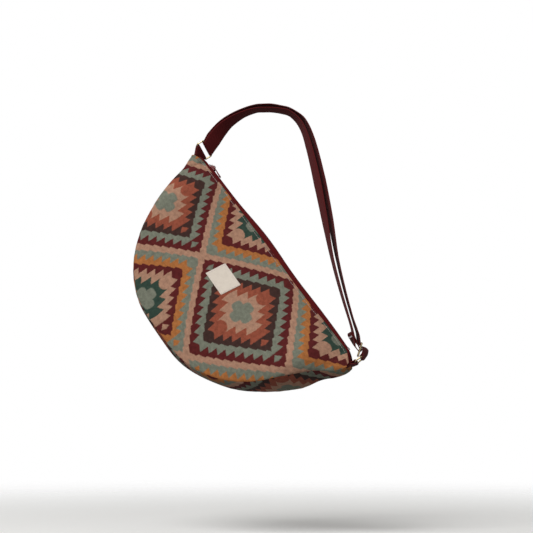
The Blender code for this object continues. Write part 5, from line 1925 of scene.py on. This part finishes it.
class CRESCENTBAG_OT_stitches(bpy.types.Operator):
    """Sew the topstitches, the label's stitches and the bar on the strap's end"""

    bl_idname = "crescentbag.stitches"
    bl_label = "Stitches"

    def execute(self, context):
        look = context.scene.crescentbag_stitches
        light = thread_material("light_thread", look.light)
        pale = thread_material("pale_thread", look.pale)
        skin = bag_skin()
        inset = context.scene.crescentbag_cloth.stitch_inset
        for word, first, last, order in (
            ("front", 0, skin.seam, slice(None)),
            ("back", skin.back, skin.grid.shape[1] - 1, slice(None, None, -1)),
        ):
            outer = bag_panels()[word][0][:, order]
            normals = skin.offsets[:, first : last + 1][:, order]
            path, face = self.inset_line(outer, normals, inset)
            keep = (path[:, 0] > 0.013 - LEFT_REACH) & (path[:, 0] < RIGHT_REACH - 0.021)
            path = path + face * look.thread * 0.3
            sizes = (look.pitch, look.reach, look.thread, look.thread * 0.6)
            self.sew("topstitch_" + word, "printed_cloth", light, sizes, path[keep], face[keep])
        self.label_stitches(pale)
        self.end_bar(pale)
        return {"FINISHED"}

    def sew(self, name, slot, thread, sizes, path, normals, slant=0.0, seed=0, pose=BAG_POSE):
        """Stitches along a path. The sizes are their pitch, reach, thread radius and bow."""
        values = dict(zip(("Pitch", "Reach", "Thread", "Bow"), sizes))
        seed += bpy.context.scene.crescentbag_stitches.seed
        values |= {"Slant": slant, "Seed": seed, "Material": thread}
        grown(name, stitch_tree(), values, path, normals, pose)

    def inset_line(self, outer, normals, inset):
        """A line on a panel at a fixed distance from its first row."""
        away = row_lengths(outer)

        def at_inset(grid):
            return np.array([
                [
                    np.interp(inset, away[i], grid[i, :, k]) for k in range(3)
                ] for i in range(len(grid))
            ])

        return at_inset(outer), unit(at_inset(normals))

    def label_stitches(self, thread):
        """A line of small stitches round the label."""
        tree = front_tree()
        u, v = 0.5 - LABEL_INSET / LABEL_WIDTH, 0.5 - LABEL_INSET / LABEL_HEIGHT
        corners = [(-u, -v), (u, -v), (u, v), (-u, v), (-u, -v)]
        path, face = [], []
        for (u0, v0), (u1, v1) in zip(corners[:-1], corners[1:]):
            for t in np.linspace(0.0, 1.0, 24, endpoint=False):
                point, normal = label_spot(tree, u0 + (u1 - u0) * t, v0 + (v1 - v0) * t)
                path.append(point + normal * (LABEL_LIFT + LABEL_WALL + 0.00008))
                face.append(normal)
        path.append(path[0])
        face.append(face[0])
        sizes = (0.0021, 0.0016, 0.00018, 0.0001)
        self.sew("label_stitches", "label_cream", thread, sizes, path, face, seed=1)

    def end_bar(self, thread):
        """A close bar of stitches across the strap's folded end."""
        knots = bag_knots(END_FOLD_BACK, GLIDE_BAR_AXIS)[::-1]
        tip, width = knots[0]
        along, away = end_axes(knots)
        middle = tip - along * 0.0052 + away * (WEB_WALL * 1.5 + 0.0003)
        path = [middle + width * t * 0.0108 for t in np.linspace(-1.0, 1.0, 30)]
        sizes = (0.00052, 0.0022, 0.00024, 0.00018)
        normals = [tuple(away)] * len(path)
        slant = math.pi / 2 - 0.18
        world = Matrix.Identity(4)
        self.sew("strap_end_bar", "burgundy_webbing", thread, sizes, path, normals, slant, 2, world)


class CRESCENTBAG_OT_stage(bpy.types.Operator):
    """Set the floor, the lights and the camera"""

    bl_idname = "crescentbag.stage"
    bl_label = "Stage"

    def execute(self, context):
        look = context.scene.crescentbag_stage
        self.floor(CAD_BOX[0].z - look.floor_drop)
        self.light("key_light", (-1.1, -2.0, 2.2), 1.5, look.key)
        self.light("fill_light", (-1.2, -2.7, 0.3), 2.0, look.fill)
        self.sky(context, look.sky)
        data = bpy.data.cameras.new("camera")
        data.lens = SENSOR_WIDTH * look.distance / FRAME_WIDTH
        data.sensor_width = SENSOR_WIDTH
        data.clip_end = 100.0
        camera = new_object("camera", data)
        camera.location = CAMERA_TARGET + Vector((0.0, -look.distance, 0.0))
        camera.rotation_euler = (math.pi / 2, 0.0, 0.0)
        context.scene.camera = camera
        context.scene.view_settings.view_transform = "Standard"
        context.scene.view_settings.look = "None"
        return {"FINISHED"}

    def floor(self, level):
        """A pale round floor that fades into the background."""
        verts = [(0.0, 0.0, level)]
        rings, sides = 12, 64
        for ring in range(1, rings + 1):
            radius = 1.6 * ring / rings
            for n in range(sides):
                angle = 2 * math.pi * n / sides
                verts.append((radius * math.cos(angle), radius * math.sin(angle), level))
        faces = [(0, 1 + n, 1 + (n + 1) % sides) for n in range(sides)]
        for ring in range(rings - 1):
            for n in range(sides):
                a, b = 1 + ring * sides + n, 1 + ring * sides + (n + 1) % sides
                faces.append((a, a + sides, b + sides, b))
        mesh = bpy.data.meshes.new("floor")
        mesh.from_pydata(verts, [], faces)
        material, tree, shader = blank_material("pale_floor")
        place = put(tree, "ShaderNodeTexCoord").outputs["Object"]
        flat = vector("MULTIPLY", place, (1.0, 1.0, 0.0))
        away = put(tree, "ShaderNodeVectorMath", {0: flat}, operation="LENGTH").outputs["Value"]
        ends = {"Value": away, "From Min": 0.35, "From Max": 1.5, "To Min": 1.0, "To Max": 0.0}
        fade = put(tree, "ShaderNodeMapRange", ends, interpolation_type="SMOOTHSTEP").outputs[0]
        under = Term(put(tree, "ShaderNodeNewGeometry").outputs["Backfacing"])
        feed(shader.inputs["Alpha"], (1.0 - under) * fade)
        seen = put(tree, "ShaderNodeLightPath").outputs["Is Camera Ray"]
        tone = mixed(tree, seen, (0.28, 0.28, 0.28, 1.0), (0.9, 0.9, 0.89, 1.0))
        feed(shader.inputs["Base Color"], tone)
        shader.inputs["Roughness"].default_value = 0.9
        mesh.materials.append(material)
        piece = new_object("floor", mesh)

    def light(self, name, spot, size, power):
        """A square soft light that faces the bag."""
        data = bpy.data.lights.new(name, "AREA")
        data.shape = "SQUARE"
        data.size = size
        data.energy = power
        lamp = new_object(name, data)
        lamp.location = spot
        aim = Vector((0.0, -0.05, -0.2)) - Vector(spot)
        lamp.rotation_euler = aim.to_track_quat("-Z", "Y").to_euler()

    def sky(self, context, strength):
        """A pale surrounding: white behind the bag, softer as a light."""
        world = bpy.data.worlds.new("pale_room")
        context.scene.world = world
        world.use_nodes = True
        tree = world.node_tree
        tree.nodes.clear()
        shown = put(tree, "ShaderNodeBackground", {"Color": (1.0, 1.0, 1.0, 1.0), "Strength": 1.0})
        ray = put(tree, "ShaderNodeTexCoord").outputs["Generated"]
        height = put(tree, "ShaderNodeSeparateXYZ", {0: ray}).outputs[2]
        ends = {"From Min": -0.5, "From Max": 0.9, "To Min": strength * 0.26, "To Max": strength}
        rise = put(tree, "ShaderNodeMapRange", {"Value": height, **ends}).outputs[0]
        warm = {"Color": (1.0, 0.99, 0.97, 1.0), "Strength": rise}
        lit = put(tree, "ShaderNodeBackground", warm).outputs[0]
        seen = put(tree, "ShaderNodeLightPath").outputs["Is Camera Ray"]
        both = put(tree, "ShaderNodeMixShader", {0: seen, 1: lit, 2: shown.outputs[0]})
        put(tree, "ShaderNodeOutputWorld", {"Surface": both.outputs[0]})


OPERATORS = (
    CRESCENTBAG_OT_panels,
    CRESCENTBAG_OT_lining,
    CRESCENTBAG_OT_zip,
    CRESCENTBAG_OT_slider,
    CRESCENTBAG_OT_label,
    CRESCENTBAG_OT_webbing,
    CRESCENTBAG_OT_hardware,
    CRESCENTBAG_OT_stitches,
    CRESCENTBAG_OT_stage,
)


class CRESCENTBAG_PT_pieces(bpy.types.Panel):
    """Settings and pieces of the bag"""

    bl_label = "Crescent Bag"
    bl_idname = "CRESCENTBAG_PT_pieces"
    bl_space_type = "VIEW_3D"
    bl_region_type = "UI"
    bl_category = "Crescent Bag"

    def draw(self, context):
        for operator in OPERATORS:
            self.layout.operator(operator.bl_idname)
        for name, group in GROUPS.items():
            box = self.layout.box()
            box.label(text=group.__doc__)
            for prop in group.__annotations__:
                box.prop(getattr(context.scene, name), prop)


CLASSES = (*GROUPS.values(), *OPERATORS, CRESCENTBAG_PT_pieces)


def register():
    """Add the settings, operators and panel."""
    for item in CLASSES:
        bpy.utils.register_class(item)
    for name, group in GROUPS.items():
        setattr(bpy.types.Scene, name, PointerProperty(type=group))


def unregister():
    """Take the settings, operators and panel away."""
    for name in GROUPS:
        delattr(bpy.types.Scene, name)
    for item in reversed(CLASSES):
        bpy.utils.unregister_class(item)


def main():
    """Build every piece."""
    register()
    bpy.ops.crescentbag.panels()
    bpy.ops.crescentbag.lining()
    bpy.ops.crescentbag.zip_tapes()
    bpy.ops.crescentbag.zip_slider()
    bpy.ops.crescentbag.label()
    bpy.ops.crescentbag.webbing()
    bpy.ops.crescentbag.hardware()
    bpy.ops.crescentbag.stitches()
    bpy.ops.crescentbag.stage()


if __name__ == "__main__":
    main()
